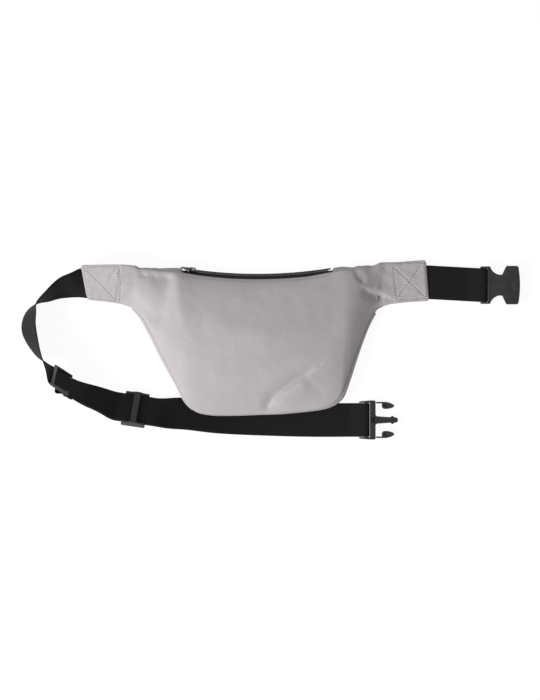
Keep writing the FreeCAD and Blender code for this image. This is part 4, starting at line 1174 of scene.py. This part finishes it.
bucklePlastic = {
    "base": (0.019, 0.0185, 0.019, 1), "worn": (0.05, 0.05, 0.052, 1), "roughness": 0.42, "specular": 0.5,
    "grain": 1.6, "bump": 0.3,
}
adjusterPlastic = {
    "base": (0.022, 0.022, 0.0225, 1), "worn": (0.055, 0.055, 0.056, 1), "roughness": 0.4, "specular": 0.5,
    "grain": 1.6, "bump": 0.3,
}
toothPlastic = {
    "base": (0.008, 0.008, 0.0085, 1), "worn": (0.02, 0.02, 0.02, 1), "roughness": 0.38, "specular": 0.5,
    "grain": 2.5, "bump": 0.15,
}


def plasticMaterial(name, values):
    material, tree, shader = newMaterial(name, values["roughness"], values["specular"])
    moulded = useGroup(tree, mouldedGrain, objectPlace(tree), Grain=values["grain"])
    wear = mathNode(tree, "MULTIPLY", moulded.outputs["Edge"], 0.8)
    cloudy = mathNode(tree, "MULTIPLY", moulded.outputs["Cloud"], 0.25)
    colour = mixColor(tree, mathNode(tree, "ADD", wear, cloudy), values["base"], values["worn"])
    link(tree, colour, shader.inputs["Base Color"])
    rough = ranged(
        tree, moulded.outputs["Cloud"], 0.3, 0.7, values["roughness"] - 0.06, values["roughness"] + 0.08)
    link(tree, rough, shader.inputs["Roughness"])
    addBump(tree, shader, moulded.outputs["Height"], values["bump"], 0.05)
    return material


sliderEnamel = {
    "base": (0.010, 0.010, 0.011, 1), "bare": (0.35, 0.34, 0.33, 1), "roughness": 0.3, "specular": 0.5,
}


def enamelMaterial(name, values):
    # black enamel on zinc, rubbed through in specks on its edges
    material, tree, shader = newMaterial(name, values["roughness"], values["specular"])
    moulded = useGroup(tree, mouldedGrain, objectPlace(tree), Grain=3.0)
    bare = ranged(tree, moulded.outputs["Edge"], 0.45, 0.6, 0.0, 1.0)
    link(tree, mixColor(tree, bare, values["base"], values["bare"]), shader.inputs["Base Color"])
    link(tree, bare, shader.inputs["Metallic"])
    rough = ranged(
        tree, moulded.outputs["Cloud"], 0.3, 0.7, values["roughness"] - 0.05, values["roughness"] + 0.1)
    link(tree, rough, shader.inputs["Roughness"])
    addBump(tree, shader, moulded.outputs["Height"], 0.1, 0.04)
    return material


threadLook = {"light": (0.36, 0.34, 0.345, 1), "dark": (0.2, 0.19, 0.195, 1), "twist": 0.9}


def threadMaterial(name, values):
    material, tree, shader = newMaterial(name, 0.7, 0.3)
    place = objectPlace(tree)
    split = tree.nodes.new("ShaderNodeSeparateXYZ")
    link(tree, place, split.inputs[0])
    # painted shade: the thread is painted darker in the grooves of its twist and lighter on the crowns of its
    # plies, following its bump
    slant = mathNode(tree, "ADD", split.outputs[0], split.outputs[1])
    ply = mathNode(tree, "SINE", mathNode(tree, "MULTIPLY", slant, 2 * math.pi / values["twist"]))
    tone = ranged(tree, ply, -1.0, 1.0, 0.0, 1.0)
    link(tree, mixColor(tree, tone, values["dark"], values["light"]), shader.inputs["Base Color"])
    addBump(tree, shader, tone, 0.5, 0.08)
    return material


clothMat = greyClothMaterial("greyCloth", greyCloth)
webbingMat = bandMaterial("blackWebbing", blackWebbing)
tapeMat = bandMaterial("zipCloth", zipCloth)
buckleMat = plasticMaterial("bucklePlastic", bucklePlastic)
adjusterMat = plasticMaterial("adjusterPlastic", adjusterPlastic)
toothMat = plasticMaterial("toothPlastic", toothPlastic)
sliderMat = enamelMaterial("sliderEnamel", sliderEnamel)
threadMat = threadMaterial("sewingThread", threadLook)
print("materials made")


# The soft pieces stand for their CAD nodes and ride on the bag, the cross web rides on the socket

def dress(piece, material, body, slot, *replaced):
    piece.data.materials.clear()
    piece.data.materials.append(material)
    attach(piece, body)
    if replaced:
        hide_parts(*replaced)


for piece, node in (
    (backPanelCloth, "back_panel"), (gussetCloth, "bottom_gusset"), (frontPanelCloth, "front_panel"),
    (topGussetLeft, "top_gusset_left"), (topGussetRight, "top_gusset_right"),
    (facingLeft, "wing_facing_left"), (facingRight, "wing_facing_right"),
):
    dress(piece, clothMat, "bag", "grey_cloth", node)
dress(beltWebbing, webbingMat, "bag", "black_webbing", "belt_webbing")
dress(buckleStrap, webbingMat, "bag", "black_webbing", "buckle_webbing")
dress(zipTapeUpper, tapeMat, "bag", "zip_tape", "zip_tape_upper")
dress(zipTapeLower, tapeMat, "bag", "zip_tape", "zip_tape_lower")
for piece in (stitchesLeft, stitchesRight, zipStitches):
    dress(piece, threadMat, "bag", "grey_cloth")
dress(endAdjuster, adjusterMat, "bag", "adjuster_plastic", "end_tri_glide")
dress(crossWeb, buckleMat, "socket_body", "buckle_plastic")

# Rigid pieces keep their modelled shape, with their edges eased as on a moulding
hardPieces = {
    "buckle_socket": (buckleMat, 0.35), "buckle_plug": (buckleMat, 0.3),
    "plug_prong_upper": (buckleMat, 0.3), "plug_prong_lower": (buckleMat, 0.3),
    "slide_tri_glide": (adjusterMat, 0.3),
    "zip_slider": (sliderMat, 0.15), "zip_pull": (sliderMat, 0.15),
    "zip_stop_left": (toothMat, 0.12), "zip_stop_right": (toothMat, 0.12),
    "zip_teeth_upper": (toothMat, 0.12), "zip_teeth_lower": (toothMat, 0.12),
}
for name, (material, easing) in hardPieces.items():
    piece = cadNodes[name]
    piece.data.materials.clear()
    piece.data.materials.append(material)
    piece.data.polygons.foreach_set("use_smooth", [True] * len(piece.data.polygons))
    weld = piece.modifiers.new("join", "WELD")
    weld.merge_threshold = 0.005 * mm
    bevel = piece.modifiers.new("easedEdges", "BEVEL")
    bevel.width = easing * mm
    bevel.segments = 2
    bevel.limit_method = "ANGLE"
    bevel.angle_limit = math.radians(32)
    piece.modifiers.new("flatFaces", "WEIGHTED_NORMAL")
print("rigid pieces finished")


# Table, light and camera

studio = {
    "floorHalf": 4000.0, "floorLow": -0.15, "floorAlbedo": 0.82, "shadowShare": 0.08, "ambient": 0.4,
    "keyPower": 70.0, "keyDistance": 2.5, "keySize": 0.9, "keyAzimuth": 206.0, "keyElevation": 35.0,
}


def makeFloor():
    size = studio["floorHalf"]
    z = studio["floorLow"]
    corners = [(-size, -size, z), (size, -size, z), (size, size, z), (-size, size, z)]
    floor = addMesh("tableTop", corners, [(0, 1, 2, 3)], False)
    material = bpy.data.materials.new("palePaper")
    material.use_nodes = True
    tree = material.node_tree
    tree.nodes.clear()
    output = tree.nodes.new("ShaderNodeOutputMaterial")
    plain = tree.nodes.new("ShaderNodeBsdfDiffuse")
    plain.inputs["Color"].default_value = (studio["floorAlbedo"],) * 3 + (1,)
    shadowed = tree.nodes.new("ShaderNodeBsdfDiffuse")
    shadowed.inputs["Color"].default_value = (studio["shadowShare"],) * 3 + (1,)
    glow = tree.nodes.new("ShaderNodeEmission")
    glow.inputs["Color"].default_value = (1, 1, 1, 1)
    glow.inputs["Strength"].default_value = 1.0 - studio["shadowShare"] + 0.02
    seen = tree.nodes.new("ShaderNodeAddShader")
    link(tree, shadowed.outputs[0], seen.inputs[0])
    link(tree, glow.outputs[0], seen.inputs[1])
    rays = tree.nodes.new("ShaderNodeLightPath")
    straight = mathNode(tree, "MAXIMUM", rays.outputs["Is Camera Ray"], rays.outputs["Is Glossy Ray"])
    straight = mathNode(tree, "MAXIMUM", straight, rays.outputs["Is Transmission Ray"])
    mix = tree.nodes.new("ShaderNodeMixShader")
    link(tree, straight, mix.inputs[0])
    link(tree, plain.outputs[0], mix.inputs[1])
    link(tree, seen.outputs[0], mix.inputs[2])
    link(tree, mix.outputs[0], output.inputs[0])
    floor.data.materials.append(material)


def makeWorld():
    world = bpy.data.worlds.new("softRoom")
    bpy.context.scene.world = world
    world.use_nodes = True
    tree = world.node_tree
    tree.nodes.clear()
    output = tree.nodes.new("ShaderNodeOutputWorld")
    soft = tree.nodes.new("ShaderNodeBackground")
    soft.inputs["Color"].default_value = (1, 1, 1, 1)
    soft.inputs["Strength"].default_value = studio["ambient"]
    white = tree.nodes.new("ShaderNodeBackground")
    white.inputs["Color"].default_value = (1, 1, 1, 1)
    white.inputs["Strength"].default_value = 1.0
    rays = tree.nodes.new("ShaderNodeLightPath")
    mix = tree.nodes.new("ShaderNodeMixShader")
    link(tree, rays.outputs["Is Camera Ray"], mix.inputs[0])
    link(tree, soft.outputs[0], mix.inputs[1])
    link(tree, white.outputs[0], mix.inputs[2])
    link(tree, mix.outputs[0], output.inputs[0])


def makeKeyLight():
    lamp = bpy.data.lights.new("windowLight", "AREA")
    lamp.shape = "DISK"
    lamp.size = studio["keySize"]
    lamp.energy = studio["keyPower"]
    holder = bpy.data.objects.new("windowLight", lamp)
    bpy.context.scene.collection.objects.link(holder)
    azimuth = math.radians(studio["keyAzimuth"])
    elevation = math.radians(studio["keyElevation"])
    level = math.cos(elevation)
    direction = Vector((level * math.cos(azimuth), level * math.sin(azimuth), math.sin(elevation)))
    holder.location = direction * studio["keyDistance"]
    holder.rotation_euler = direction.to_track_quat("Z", "Y").to_euler()


view = {"centre": (18.0, -5.625), "height": 6572.5, "lens": 300.0, "sensor": 36.0}


def makeCamera():
    camera = bpy.data.cameras.new("camera")
    camera.lens = view["lens"]
    camera.sensor_fit = "VERTICAL"
    camera.sensor_height = view["sensor"]
    holder = bpy.data.objects.new("camera", camera)
    bpy.context.scene.collection.objects.link(holder)
    holder.location = (view["centre"][0] * mm, view["centre"][1] * mm, view["height"] * mm)
    bpy.context.scene.camera = holder


makeFloor()
makeWorld()
makeKeyLight()
makeCamera()
bpy.context.scene.view_settings.view_transform = "Standard"

print("scene made")
